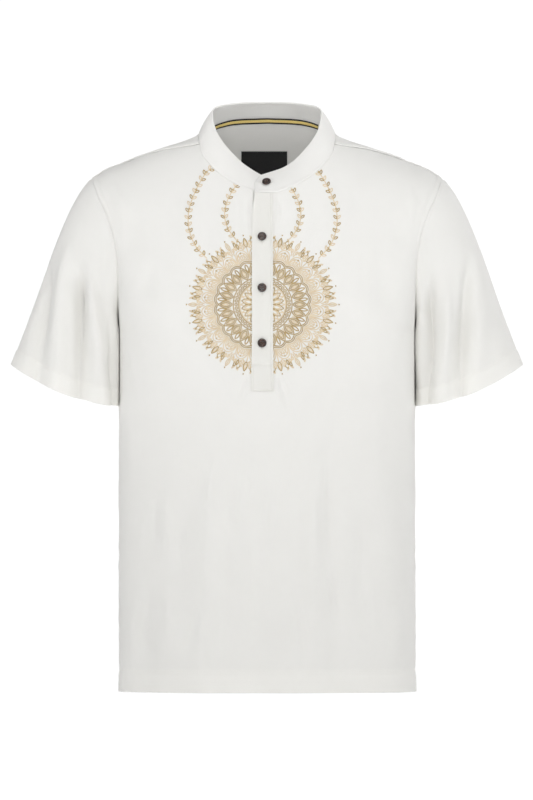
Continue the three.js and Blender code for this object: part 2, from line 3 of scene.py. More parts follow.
import bmesh
import bpy
import numpy as np
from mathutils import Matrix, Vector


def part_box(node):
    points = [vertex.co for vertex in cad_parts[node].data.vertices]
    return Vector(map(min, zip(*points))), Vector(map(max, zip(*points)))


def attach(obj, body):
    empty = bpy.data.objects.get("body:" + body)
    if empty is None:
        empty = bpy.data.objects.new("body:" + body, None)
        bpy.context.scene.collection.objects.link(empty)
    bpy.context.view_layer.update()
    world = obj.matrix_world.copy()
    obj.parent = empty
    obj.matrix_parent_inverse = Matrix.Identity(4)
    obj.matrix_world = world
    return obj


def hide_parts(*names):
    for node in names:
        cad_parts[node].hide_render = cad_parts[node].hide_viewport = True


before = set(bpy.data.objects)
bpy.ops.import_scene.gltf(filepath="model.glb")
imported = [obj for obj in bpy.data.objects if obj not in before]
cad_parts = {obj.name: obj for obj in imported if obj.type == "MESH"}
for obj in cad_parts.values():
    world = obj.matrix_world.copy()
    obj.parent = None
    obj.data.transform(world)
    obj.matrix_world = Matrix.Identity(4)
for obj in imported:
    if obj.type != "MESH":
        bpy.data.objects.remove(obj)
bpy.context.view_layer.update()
print("frame loaded:", len(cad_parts), "nodes")

mm = 0.001


# small maths on arrays
def smooth(low, high, value):
    t = np.clip((np.asarray(value, float) - low) / (high - low), 0, 1)
    return t * t * (3 - 2 * t)


def mix(a, b, t):
    return a + (b - a) * t


def bell(value, width):
    return np.exp(-(np.asarray(value, float) / width) ** 2)


def unit(vectors):
    return vectors / np.maximum(np.linalg.norm(vectors, axis=-1, keepdims=True), 1e-12)


def runLengths(points):
    # the length along a line up to each of its points
    return np.concatenate([[0], np.cumsum(np.linalg.norm(np.diff(points, axis=0), axis=1))])


def hermite(t):
    rise = t * t * (3 - 2 * t)
    return 1 - rise, t * (1 - t) ** 2, rise, t * t * (t - 1)


def along(rows, at):
    # a smooth curve through a table of (place, value) rows
    rows = np.array(sorted(rows), float)
    x, y = rows[:, 0], rows[:, 1]
    at = np.clip(np.asarray(at, float), x[0], x[-1])
    k = np.clip(np.searchsorted(x, at, side="right") - 1, 0, len(x) - 2)
    before = np.maximum(np.arange(len(x)) - 1, 0)
    after = np.minimum(np.arange(len(x)) + 1, len(x) - 1)
    slope = (y[after] - y[before]) / (x[after] - x[before])
    span = x[k + 1] - x[k]
    h00, h10, h01, h11 = hermite((at - x[k]) / span)
    return y[k] * h00 + y[k + 1] * h01 + span * (slope[k] * h10 + slope[k + 1] * h11)


def solve(fall, low, high):
    # where a falling function of an array passes zero
    low, high = np.array(low, float), np.array(high, float)
    for _ in range(40):
        middle = (low + high) / 2
        above = fall(middle) > 0
        low, high = np.where(above, middle, low), np.where(above, high, middle)
    return (low + high) / 2


def ripple(at, length, seed, count=400, start=173.3):
    # smooth random waves from -1 to 1 along a line, which repeat after count of them
    knots = np.random.default_rng(seed).uniform(-1, 1, count)
    x = np.asarray(at, float) / length + start
    k = np.floor(x).astype(int)
    return mix(knots[k % count], knots[(k + 1) % count], smooth(0, 1, x - k))


# the shirt's form in millimetres, as in its solids, but for a back neckline 4 mm higher at its middle
body = {
    "halfWidth": 189.0,
    "hemZ": -710.0,
    "chestZ": -250.0,
    "armpitZ": -244.5,
    "chestDepth": (115.0, 112.0),  # front, back
    "hemDepth": (112.0, 110.0),
    "hemSquareness": 2.3,
    "armpitSquareness": 3.4,
    "squareFrom": 0.4,  # share of the way down where the squareness sets in
    "edgePower": 6,  # how late the rows turn towards the armhole's heights
    "seamGap": 0.35,
}
shoulder = {
    "ridgeY": 8.0,
    "tipX": 223.5,
    "tipY": 5.0,
    "tipZ": -53.0,
    "reach": (130.0, 150.0),
    "fall": (260.0, 330.0),
    "armholeReach": 200.0,
    "armholeReturn": 260.0,
    "armholeDrop": 25.0,
    "armholeFall": 60.0,
    "napeLift": 43.0,
    "napeFrom": 30.0,  # the lift fades between these distances from the middle
    "napeTo": 105.0,
    "napeRows": 0.12,
    "neckHalfWidth": 86.5,
}
shoulderLine = [(0, 8), (60, 7), (86.5, 3), (93, 0), (110, -6.5), (130, -12.5), (147, -18.7),
                (165, -25.3), (186, -34), (204, -41), (223.5, -53)]
armholeLine = [(-53, 223.5), (-60, 221.5), (-80, 214), (-100, 205), (-127, 196), (-154, 191),
               (-182, 189), (-244.5, 189)]
frontNeckline = [(0, -71.3), (13.6, -70.3), (29, -64.5), (47.5, -55.3), (67, -40.7),
                 (77.6, -28.8), (84.3, -18.4), (86.5, -10.7)]
backNeckline = [(0, 26), (40, 24.3), (60, 19.8), (75, 13), (83, 8), (86.5, 4.6)]
yokeSeam = {"frontAtNeck": 0.165, "frontAtTip": 0.012, "frontEndX": 195.0, "backZ": -80.0,
            "neckCorner": 0.08, "bend": 1.3}
centreX = -5.8  # middle line of the placket


def torso(isBack, s, v):
    isBack, s, v = np.broadcast_arrays(isBack, np.asarray(s, float), np.asarray(v, float))
    pick = lambda pair: np.where(isBack, pair[1], pair[0])
    out = np.where(isBack, 1.0, -1.0)
    t, down = np.minimum(v, 1), np.maximum(v - 1, 0)
    h00, h10, h01, h11 = hermite(t)
    a = np.abs(s)
    edge = a ** body["edgePower"]
    edgeZ = (shoulder["tipZ"] * h00 - shoulder["armholeDrop"] * h10 + body["armpitZ"] * h01
             - shoulder["armholeFall"] * h11)
    edgeX = along(armholeLine, edgeZ)
    middleX = body["halfWidth"] * np.sin(s * math.pi / 2)
    x = middleX * (edgeX / body["halfWidth"]) ** (a * a)
    ridgeX = np.abs(middleX) * (shoulder["tipX"] / body["halfWidth"]) ** (a * a)
    n = mix(body["hemSquareness"], body["armpitSquareness"],
            smooth(body["squareFrom"], 1, t) * (1 - smooth(0, body["squareFrom"], down)))
    u = np.clip(np.abs(x) / edgeX, 0, 1)
    roundness = np.maximum(1 - u ** n, 0) ** (1 / n)
    depth = mix(pick(body["chestDepth"]), pick(body["hemDepth"]), down)
    middleDepth = out * shoulder["ridgeY"] * h00 + pick(shoulder["reach"]) * h10 + depth * h01
    edgeDepth = (out * shoulder["tipY"] * h00 + shoulder["armholeReach"] * h10
                 - shoulder["armholeReturn"] * h11 + body["seamGap"] / 2 * h01)
    y = out * (edgeDepth + (middleDepth - edgeDepth) * roundness)
    lift = (shoulder["napeLift"] * (1 - smooth(shoulder["napeFrom"], shoulder["napeTo"], ridgeX))
            * smooth(0, shoulder["napeRows"], t))
    ridgeZ = along(shoulderLine, ridgeX) + np.where(isBack, lift, 0)
    levelZ = mix(body["chestZ"], body["armpitZ"], edge)
    fall = mix(pick(shoulder["fall"]), shoulder["armholeFall"], edge)
    z = ridgeZ * h00 - shoulder["armholeDrop"] * edge * h10 + levelZ * h01 - fall * h11
    return np.stack([x, y, mix(z, body["hemZ"], down)], axis=-1)


def torsoNormal(isBack, s, v):
    step = 0.0015
    across = torso(isBack, np.minimum(s + step, 1), v) - torso(isBack, np.maximum(s - step, -1), v)
    down = torso(isBack, s, v + step) - torso(isBack, s, v)
    sign = np.where(isBack, 1.0, -1.0)[..., None]
    return unit(np.cross(across, down) * sign)


def acrossAt(x):
    return np.arcsin(np.asarray(x, float) / body["halfWidth"]) * 2 / math.pi


neckS = float(solve(lambda s: 0.9995 * shoulder["neckHalfWidth"] - torso(False, s, 0.1)[..., 0],
                    0.1, 0.6))


def levelV(isBack, s, z):
    return solve(lambda v: torso(isBack, s, v)[..., 2] - z, np.full(np.shape(s), 0.02),
                 np.full(np.shape(s), 2.0))


def neckV(isBack, s):
    rows = backNeckline if isBack else frontNeckline
    low = yokeSeam["neckCorner"] if isBack else 0.05

    def above(v):
        p = torso(isBack, s, v)
        return p[..., 2] - along(rows, np.minimum(np.abs(p[..., 0]), shoulder["neckHalfWidth"]))

    return solve(above, np.full(np.shape(s), low), np.full(np.shape(s), 1.0))


def yokeFrontV(s):
    x = np.abs(torso(False, s, 0.0)[..., 0])
    share = np.clip((yokeSeam["frontEndX"] - x) / (yokeSeam["frontEndX"] - shoulder["neckHalfWidth"]),
                    0, 1)
    return mix(yokeSeam["frontAtTip"], yokeSeam["frontAtNeck"], share ** yokeSeam["bend"])


def speedV(isBack, s, v):
    # millimetres of cloth for a step of v
    step = 0.001
    return np.linalg.norm(torso(isBack, s, v + step) - torso(isBack, s, v), axis=-1) / step


# folds and creases are rows of (x0, z0, x1, z1, width, depth), seen from the front or the back
foldShape = {"startWidth": 0.6, "endWidth": 1.05, "openBy": 0.8}


def foldDepth(folds, points, ends=(0.35, 0)):
    depth = np.zeros(points.shape[:-1])
    for x0, z0, x1, z1, width, amount in folds:
        dx, dz = x1 - x0, z1 - z0
        length = math.hypot(dx, dz)
        px, pz = points[..., 0] - x0, points[..., 2] - z0
        t = (px * dx + pz * dz) / length ** 2
        off = (px * dz - pz * dx) / length
        share = smooth(0, ends[0], t)
        # a fold starts narrow and opens out on its way down
        width = width * mix(foldShape["startWidth"], foldShape["endWidth"], smooth(0, foldShape["openBy"], t))
        if ends[1]:
            share = share * (1 - smooth(1 - ends[1], 1, t))
        depth += amount * bell(off, width) * share
    return depth


# cloth meshes
clothThickness = 0.7


class Panel:
    # a grid of points on the outside of the cloth with their outward normals
    def __init__(self, points, normals, wrap=False):
        self.points, self.normals, self.wrap = points, normals, wrap

    def lengths(self, axis):
        steps = np.linalg.norm(np.diff(self.points, axis=axis), axis=-1)
        zero = np.zeros_like(np.take(steps, [0], axis=axis))
        return np.concatenate([zero, np.cumsum(steps, axis=axis)], axis=axis)

    def at(self, j, i):
        # points and normals at fractional rows and columns
        j, i = np.asarray(j, float), np.asarray(i, float)
        rows, columns = self.points.shape[:2]
        j0 = np.clip(np.floor(j).astype(int), 0, rows - 2)
        i0 = np.clip(np.floor(i).astype(int), 0, columns - 2)
        f, g = (i - i0)[..., None], (j - j0)[..., None]

        def sample(grid):
            top = mix(grid[j0, i0], grid[j0, i0 + 1], f)
            return mix(top, mix(grid[j0 + 1, i0], grid[j0 + 1, i0 + 1], f), g)

        return sample(self.points), unit(sample(self.normals))

    def rowPath(self, startRow, distance, columns):
        # a line at a distance below a row, or above it where the distance is negative
        lengths = self.lengths(0)
        rows = np.arange(len(lengths))
        j = [np.interp(lengths[startRow, i] + distance, lengths[:, i], rows) for i in columns]
        return self.at(j, columns)

    def columnPath(self, startColumn, distance, rows):
        lengths = self.lengths(1)
        columns = np.arange(lengths.shape[1])
        i = [np.interp(lengths[j, startColumn] + distance, lengths[j], columns) for j in rows]
        return self.at(rows, i)


def gridNormals(points, wrap, sign):
    across = (np.roll(points, -1, 1) - np.roll(points, 1, 1)) if wrap else np.gradient(points, axis=1)
    return unit(np.cross(across, np.gradient(points, axis=0)) * sign)


def surfaceArea(points, wrap=False):
    ring = np.concatenate([points, points[:, :1]], axis=1) if wrap else points
    one = ring[1:, 1:] - ring[:-1, :-1]
    other = ring[1:, :-1] - ring[:-1, 1:]
    return np.linalg.norm(np.cross(one, other), axis=-1) / 2


def linkObject(name, data):
    piece = bpy.data.objects.new(name, data)
    bpy.context.scene.collection.objects.link(piece)
    return piece


def makeObject(name, vertices, faces, material, uv=None, doubled=None):
    mesh = bpy.data.meshes.new(name)
    mesh.from_pydata(np.asarray(vertices).tolist(), [], faces)
    mesh.polygons.foreach_set("use_smooth", np.ones(len(mesh.polygons), bool))
    if uv is not None:
        corners = np.zeros(len(mesh.loops), np.int32)
        mesh.loops.foreach_get("vertex_index", corners)
        layer = mesh.uv_layers.new(name="clothUV")
        layer.data.foreach_set("uv", np.asarray(uv)[corners].ravel())
    if doubled is not None:
        attribute = mesh.attributes.new("doubled", "FLOAT", "POINT")
        attribute.data.foreach_set("value", np.asarray(doubled, float))
    mesh.materials.append(material)
    mesh.update()
    return linkObject(name, mesh)


def clothWall(name, panel, material, thickness=clothThickness, keep=None, roundEdge=None,
              innerShift=(0.37, 0.11), doubled=0.0):
    # a closed wall: the panel's points outside, and a second layer inside
    points, normals, wrap = panel.points, panel.normals, panel.wrap
    rows, columns = points.shape[:2]
    cells = columns if wrap else columns - 1
    keep = np.ones((rows - 1, cells), bool) if keep is None else keep
    full = np.ones((rows, columns)) if roundEdge is None else roundEdge
    half = np.broadcast_to(thickness, (rows, columns)) / 2
    outer = points - normals * (half * (1 - full))[..., None]
    inner = points - normals * (half * (1 + full))[..., None]
    vertices = np.concatenate([outer.reshape(-1, 3), inner.reshape(-1, 3)])
    lengthAcross, lengthDown = panel.lengths(1), panel.lengths(0)
    middle = lengthAcross[:, columns // 2][:, None]
    flat = np.stack([lengthAcross - middle, -lengthDown], axis=-1).reshape(-1, 2) * mm
    uv = np.concatenate([flat, flat + innerShift])

    index = np.arange(rows * columns).reshape(rows, columns)
    right = np.roll(index, -1, axis=1)
    a, b = index[:-1, :cells], index[1:, :cells]
    c, d = right[1:, :cells], right[:-1, :cells]
    below = rows * columns
    quads = [np.stack([a, d, c, b], -1)[keep], np.stack([a, b, c, d], -1)[keep] + below]
    padded = np.zeros((rows + 1, cells + 2), bool)
    padded[1:-1, 1:-1] = keep
    if wrap:
        padded[1:-1, 0], padded[1:-1, -1] = keep[:, -1], keep[:, 0]
    rims = [(padded[:-2, 1:-1], a, d), (padded[2:, 1:-1], c, b), (padded[1:-1, :-2], b, a),
            (padded[1:-1, 2:], d, c)]
    for neighbour, start, end in rims:
        bare = keep & ~neighbour
        start, end = start[bare], end[bare]
        quads.append(np.stack([end, start, start + below, end + below], -1))
    faces = np.concatenate(quads)
    # turn the faces outwards
    first = quads[0][len(quads[0]) // 2]
    p = vertices[first]
    turn = np.dot(np.cross(p[1] - p[0], p[2] - p[0]), normals.reshape(-1, 3)[first[0]])
    if turn < 0:
        faces = faces[:, ::-1]
    used, faces = np.unique(faces, return_inverse=True)
    faces = faces.reshape(-1, 4).tolist()
    layers = np.tile(np.broadcast_to(doubled, (rows, columns)).ravel(), 2)
    return makeObject(name, vertices[used] * mm, faces, material, uv[used], layers[used])


def edgeRound(distance, radius=0.5, thinnest=0.2):
    # share of the half thickness left at a distance from a free edge
    t = np.clip(np.asarray(distance, float) / radius, 0, 1)
    return thinnest + (1 - thinnest) * np.sqrt(1 - (1 - t) ** 2)


def spaced(*stretches):
    # joined stretches of (from, to, steps)
    parts = [np.linspace(a, b, n, endpoint=False) for a, b, n in stretches]
    return np.concatenate([*parts, [stretches[-1][1]]])


# a wrapped socket, whose arithmetic adds Math nodes
class Wire:
    def __init__(self, nodes, socket):
        self.nodes, self.socket = nodes, socket

    def maths(self, operation, *others):
        values = dict(enumerate([self, *others]))
        return self.nodes.add("ShaderNodeMath", {"operation": operation}, values)["Value"]

    def __add__(self, other): return self.maths("ADD", other)
    def __radd__(self, other): return self.maths("ADD", other)
    def __sub__(self, other): return self.maths("SUBTRACT", other)
    def __rsub__(self, other): return (self * -1) + other
    def __mul__(self, other): return self.maths("MULTIPLY", other)
    def __rmul__(self, other): return self.maths("MULTIPLY", other)
    def __gt__(self, other): return self.maths("GREATER_THAN", other)
    def __lt__(self, other): return self.maths("LESS_THAN", other)
    def sine(self): return self.maths("SINE")
    def size(self): return self.maths("ABSOLUTE")


class Made:
    def __init__(self, nodes, node):
        self.nodes, self.node = nodes, node

    def __getitem__(self, name):
        return Wire(self.nodes, self.node.outputs[name])


class Nodes:
    def __init__(self, tree):
        self.tree = tree

    def add(self, kind, settings=None, sockets=None):
        node = self.tree.nodes.new(kind)
        for key, value in (settings or {}).items():
            if key == "stops":
                ramp = node.color_ramp
                while len(ramp.elements) < len(value):
                    ramp.elements.new(0.5)
                for element, (place, colour) in zip(ramp.elements, value):
                    element.position, element.color = place, colour
            else:
                setattr(node, key, value)
        for key, value in (sockets or {}).items():
            if isinstance(value, Wire):
                self.tree.links.new(value.socket, node.inputs[key])
            else:
                node.inputs[key].default_value = value
        return Made(self, node)


def newMaterial(name, constants):
    material = bpy.data.materials.new(name)
    material.use_nodes = True
    nodes = Nodes(material.node_tree)
    shader = Made(nodes, material.node_tree.nodes["Principled BSDF"])
    for key, value in constants.items():
        shader.node.inputs[key].default_value = value
    return material, nodes, shader


def connect(shader, name, wire):
    shader.nodes.tree.links.new(wire.socket, shader.node.inputs[name])


def clothPlace(nodes):
    place = nodes.add("ShaderNodeUVMap", {"uv_map": "clothUV"})["UV"]
    return place, nodes.add("ShaderNodeSeparateXYZ", {}, {0: place})


def noise(nodes, place, scale, detail, **more):
    sockets = {"Vector": place, "Scale": scale, "Detail": detail, **more}
    return nodes.add("ShaderNodeTexNoise", {}, sockets)["Fac"]


def tint(nodes, share, first, second):
    # a colour between two others
    made = nodes.add("ShaderNodeMix", {"data_type": "RGBA"}, {"Factor": share, 6: first, 7: second})
    return Wire(nodes, made.node.outputs[2])


def raiseBy(shader, height, strength):
    bump = shader.nodes.add("ShaderNodeBump", {}, {"Height": height, "Distance": 1.0, "Strength": strength})
    connect(shader, "Normal", bump["Normal"])


def linear(red, green, blue):
    # a colour given from 0 to 255 as a screen shows it
    def one(value):
        value = value / 255
        return value / 12.92 if value <= 0.04045 else ((value + 0.055) / 1.055) ** 2.4
    return (one(red), one(green), one(blue), 1.0)


# materials, with lengths in metres
cottonLook = {
    "yarnPitch": 0.00042,
    "weaveDepth": 0.00006,
    "slubDepth": 0.00009,
    "slub": (900, 60),  # thick places are short across a yarn and long beside it
    "cloud": 22.0,
    "roughness": 0.82,
    "sheen": 0.12,
    "gloss": 0.25,
    "throughLight": 0.4,  # share of light that passes into the cloth
    "throughDepth": 0.0014,
    "mottle": 0.35,
    "weaveTone": 0.12,
    "doubleTone": 0.3,  # cloth that lies double lets less light through and looks whiter
    "relief": 0.6,
}


def wovenMaterial(name, colour, shade=0.93, look=cottonLook):
    material, nodes, shader = newMaterial(name, {
        "Roughness": look["roughness"], "Sheen Weight": look["sheen"], "Sheen Roughness": 0.5,
        "Specular IOR Level": look["gloss"], "Subsurface Weight": look["throughLight"],
        "Subsurface Radius": (1.0, 1.0, 1.0), "Subsurface Scale": look["throughDepth"],
    })
    place, parts = clothPlace(nodes)
    turn = 2 * math.pi / look["yarnPitch"]
    weave = (parts["X"] * turn).sine() * (parts["Y"] * turn).sine()
    stretched = [nodes.add("ShaderNodeMapping", {}, {"Vector": place, "Scale": (*scale, 1)})["Vector"]
                 for scale in (look["slub"], look["slub"][::-1])]
    slub = noise(nodes, stretched[0], 1.0, 2.0) + noise(nodes, stretched[1], 1.0, 2.0)
    tone = (slub - 1) * 0.5 + (noise(nodes, place, look["cloud"], 3.0) - 0.5) + weave * look["weaveTone"]
    double = nodes.add("ShaderNodeAttribute", {"attribute_name": "doubled"})["Fac"]
    share = tone * look["mottle"] + double * look["doubleTone"] + 0.3
    dark = tuple(c * shade for c in colour[:3]) + (1.0,)
    connect(shader, "Base Color", tint(nodes, share, dark, colour))
    raiseBy(shader, weave * look["weaveDepth"] + (slub - 1) * look["slubDepth"], look["relief"])
    return material


white = wovenMaterial("whiteCotton", linear(246, 245, 241), 0.9)
collarWhite = wovenMaterial("collarCotton", linear(244, 243, 240), 0.92)


# front, back and yoke
seamLook = {
    "over": 0.8,       # an upper layer stands this much proud along its seam
    "under": -0.7,     # and the lower one dips beneath it
    "lap": 6.0,        # length of cloth under a seam, in rows of lapSteps
    "lapSteps": 3,
    "proudTo": (4, 9),  # the upper layer comes down between these distances
    "turnIn": 0.8,     # width of its rounded edge
    "doubled": 6.5,    # width of the cloth that lies double along it
    "armholeLine": 6,
    "hem": 29.5,       # turned-up hem of the body
    "sleeveHem": 24.0,
    "hemLine": 2,      # its stitches run this far below its upper edge
    "hemEdge": 0.9,    # rounding of the cloth's edge
}
hemLook = {
    "dip": 0.585, "dipWidth": 1.5, "fold": 0.5, "foldFrom": 0.6, "foldTo": -1.4,
    "slant": 0.5, "reach": 8, "fine": 4, "coarse": 8, "uneven": 60,  # the last three are lengths of waves
}
puckerLook = {
    "depth": 0.5, "slant": 0.35, "fine": 5.5, "coarse": 13, "uneven": 38,
    "fineReach": 5, "coarseReach": 9, "coarseShare": 1.1,
}
frontFolds = [(-75, -400, -82, -700, 20, 4.5), (75, -380, 92, -640, 19, -4.5),
              (-150, -560, -158, -700, 18, -5), (150, -420, 160, -690, 20, 4.5),
              (-8, -420, -14, -700, 22, -3), (34, -430, 30, -690, 20, 3)]
backFolds = [(-60, -280, -85, -700, 27, 8), (20, -330, 25, -700, 25, -7),
             (95, -290, 120, -700, 27, 7.5), (-140, -260, -130, -560, 21, -6)]
# softer creases of the front: each starts and ends on the cloth
frontCreases = [
    (-66, -404, -76, -484, 6, 2.4), (-30, -430, -34, -516, 6, 1.8), (-48, -420, -52, -600, 9, -1.9),
    (76, -405, 77, -560, 8, -3.2), (77, -540, 99, -640, 6, -2.6), (60, -430, 64, -600, 8, 1.6),
    (-156, -580, -164, -662, 8, -4.2), (-86, -592, -104, -672, 8, -4.2), (-124, -570, -128, -680, 12, 2.2),
    (-144, -460, -147, -545, 9, -3.0), (-110, -490, -112, -570, 7, -2.9), (-127, -440, -130, -560, 8, 2.1),
    (158, -580, 166, -676, 14, 4.2), (174, -330, 166, -450, 12, -2.4), (140, -330, 136, -500, 12, 1.6),
    (118, -470, 122, -660, 11, -2.4), (30, -470, 36, -650, 12, -1.8), (6, -400, 2, -560, 10, 1.3),
    (-10, -520, -14, -690, 12, -1.8), (-176, -330, -170, -470, 9, 1.5),
    (166, -92, 172, -150, 16, -2.6), (-166, -96, -176, -160, 15, -1.8), (150, -120, 140, -200, 14, -1.2),
    (-148, -110, -158, -190, 13, 1.2), (-180, -235, -150, -330, 9, -1.6),
    (181, -236, 156, -322, 8, -1.7),
    (-176, -262, -158, -370, 7, 1.0), (9.5, -306, 24, -350, 2.8, -2.2), (16, -300, 32, -332, 2.6, -1.2),
    (-24, -308, -33, -340, 2.6, -1.8), (156, -160, 148, -232, 17, -4.0), (-148, -158, -158, -218, 15, -3.0),
    (104, -210, 98, -262, 14, -1.6), (-128, -232, -120, -292, 13, 1.8), (-27, -76, -24, -132, 6, -2.2),
    (13, -72, 14, -118, 5, -1.8), (-58, -84, -46, -118, 5, -0.9), (48, -80, 38, -124, 6, -0.8),
    (-44, -72, -36, -104, 4, 0.7), (52, -150, 40, -230, 16, -0.6),
    (-206, -68, -186, -120, 5, -1.8), (-196, -62, -174, -100, 6, 1.4), (-214, -62, -200, -92, 3.5, -1.0),
    (198, -66, 187, -122, 5, -1.5), (180, -60, 190, -100, 5, 1.2), (-120, -62, -92, -96, 9, -1.2),
    (118, -66, 96, -104, 9, -1.0), (-20, -400, -26, -470, 5, -1.4), (128, -560, 140, -650, 7, 2.0),
    (-60, -610, -66, -684, 7, 1.8), (40, -590, 52, -676, 6, -1.6), (-170, -600, -176, -684, 7, 2.2),
]
backCreases = [
    (-40, -110, -50, -260, 14, 3.0), (38, -108, 44, -250, 13, -2.7), (-120, -130, -100, -300, 18, -3.4),
    (118, -140, 104, -290, 16, 3.4), (0, -300, 6, -470, 16, 2.7), (-178, -236, -140, -340, 9, -3.0),
    (180, -236, 146, -330, 9, -3.0), (70, -480, 62, -690, 18, -2.8), (-20, -520, -30, -700, 15, 2.5),
    (150, -420, 158, -640, 18, -2.7),
]


def sColumns(middle):
    # columns over the whole width, closer together near the side seams
    wing = spaced((1.0, 0.98, 7), (0.98, 0.9, 9), (0.9, neckS, 38))
    left = np.concatenate([-wing, middle[middle < 0]])
    return np.unique(np.round(np.concatenate([left, middle, -left, wing]), 9))


slit = {"left": -16.8, "right": 5.2, "endZ": -317.0}
frontMiddle = ((-84, -19, 24), (slit["left"], slit["right"], 10), (8, 84, 28))
frontS = sColumns(acrossAt(np.concatenate([np.linspace(*stretch) for stretch in frontMiddle])))
backS = sColumns(acrossAt(np.linspace(-84, 84, 57)))


def sideDistance(points):
    # millimetres along each row from the nearer end
    steps = np.linalg.norm(np.diff(points, axis=1), axis=-1)
    total = np.concatenate([np.zeros((len(points), 1)), np.cumsum(steps, axis=1)], axis=1)
    return np.minimum(total, total[:, -1:] - total)


def rowDistance(points, fromRow):
    # millimetres down each column from a row
    steps = np.linalg.norm(np.diff(points, axis=0), axis=-1)
    total = np.concatenate([np.zeros((1, points.shape[1])), np.cumsum(steps, axis=0)])
    return total - total[fromRow]


def hemShape(fromEdge, alongHem, hem, seed):
    # dip and puckers at a hem's stitch line, and the fold's fuller edge
    past = fromEdge - (hem - seamLook["hemLine"])
    slanted = alongHem + hemLook["slant"] * past
    strength = 0.6 + 0.6 * ripple(alongHem, hemLook["uneven"], seed + 2)
    waves = ripple(slanted, hemLook["coarse"], seed) * strength
    waves = waves + 0.5 * ripple(slanted, hemLook["fine"], seed + 1)
    fold = hemLook["fold"] * smooth(hemLook["foldFrom"], hemLook["foldTo"], past)
    gathers = puckerLook["depth"] * waves * bell(past, hemLook["reach"])
    return fold + gathers - hemLook["dip"] * bell(past, hemLook["dipWidth"])


def puckers(alongSeam, fromStitches, seed):
    # small gathers that cross a line of stitches, uneven in size
    fine = ripple(alongSeam + puckerLook["slant"] * fromStitches, puckerLook["fine"], seed)
    coarse = ripple(alongSeam, puckerLook["coarse"], seed + 100) * puckerLook["coarseShare"]
    strength = 0.55 + 0.45 * ripple(alongSeam, puckerLook["uneven"], seed + 200)
    gathers = (fine * bell(fromStitches, puckerLook["fineReach"])
               + coarse * bell(fromStitches, puckerLook["coarseReach"]))
    return puckerLook["depth"] * strength * gathers


def hemStretches(start, steps, share, near, last):
    # rows down to a hem, close together at its stitches, which are a share of the way up, and at its edge
    above, below = 1 - share * (1 + near), 1 - share * (1 - near)
    return (start, above, steps), (above, below, 2), (below, last, 8), (last, 1, 6)


def proudEdge(distance):
    # an upper layer's lift along its seam
    near, far = seamLook["proudTo"]
    return seamLook["over"] * (1 - smooth(near, far, distance))


def turnedEdge(distance):
    return seamLook["over"] * 0.8 * (1 - smooth(0, seamLook["turnIn"], distance))


def hemmedWall(name, panel, fromEdge, hem, keep=None, doubled=False):
    thickness = np.where(fromEdge < hem, 2 * clothThickness, clothThickness)
    double = np.maximum(fromEdge < hem - 1, doubled)
    edge = edgeRound(fromEdge, seamLook["hemEdge"])
    return clothWall(name, panel, white, thickness, keep, edge, doubled=double)


bodyHem = {"share": 25.8 / 460, "near": 0.05, "last": 0.994}
slitRows = 16  # rows from the armholes' lower ends to the end of the slit


def makeFront():
    lapSteps = seamLook["lapSteps"]
    s = frontS
    inNeck = np.abs(s) < neckS - 1e-6
    top = np.where(inNeck, neckV(False, s), yokeFrontV(s))
    # the lap runs on under the yoke, and ends just above the seam at the neck
    lapV = np.where(inNeck, top - 0.004, np.maximum(top - seamLook["lap"] / speedV(False, s, top), 0.0008))
    slitV = float(levelV(False, acrossAt(centreX), slit["endZ"]))
    rows = [mix(lapV, top, k / lapSteps) for k in range(lapSteps)]
    rows += [mix(top, 1.0, f) for f in spaced((0, 0.02, 6), (0.02, 1, 52))[:-1]]
    rows += [np.full_like(s, mix(1.0, slitV, k / slitRows)) for k in range(slitRows)]
    rows += [np.full_like(s, mix(slitV, 2.0, f)) for f in spaced(*hemStretches(0, 84, **bodyHem))]
    v = np.array(rows)
    grid = np.broadcast_to(s, v.shape)
    points, normals = torso(False, grid, v), torsoNormal(False, grid, v)
    d = rowDistance(points, lapSteps)
    side = sideDistance(points)
    bottom = -rowDistance(points, -1)
    across, heights, armhole = points[..., 0], points[..., 2], v < 1.0
    lift = foldDepth(frontFolds, points) + foldDepth(frontCreases, points, (0.35, 0.45))
    lift += np.where(~inNeck[None, :] & (d < 12), seamLook["under"] * (1 - smooth(0, 2.5, d)), 0)
    lift += np.where(inNeck[None, :], 0, puckers(across, d - 3, 11) * (d > 0))
    lift += proudEdge(side)
    lift += np.where(armhole, puckers(heights, side - seamLook["armholeLine"], 12),
                     0.5 * ripple(heights, 13, 13) * bell(side - 4, 6))
    lift += hemShape(bottom, across, seamLook["hem"], 14)
    # the ends of the rows fold under
    points = points + normals * lift[..., None]
    panel = Panel(points - normals * turnedEdge(side)[..., None], normals)
    column = (s[:-1] > acrossAt(slit["left"]) - 1e-6) & (s[1:] < acrossAt(slit["right"]) + 1e-6)
    keep = ~((v[1:, :1] < slitV + 1e-9) & column[None, :])
    keep[:lapSteps] &= ~(inNeck[:-1] | inNeck[1:])[None, :]
    doubled = armhole & (side < seamLook["doubled"])
    piece = hemmedWall("frontCloth", panel, bottom, seamLook["hem"], keep, doubled)
    return piece, panel, {"v": v, "keep": keep}


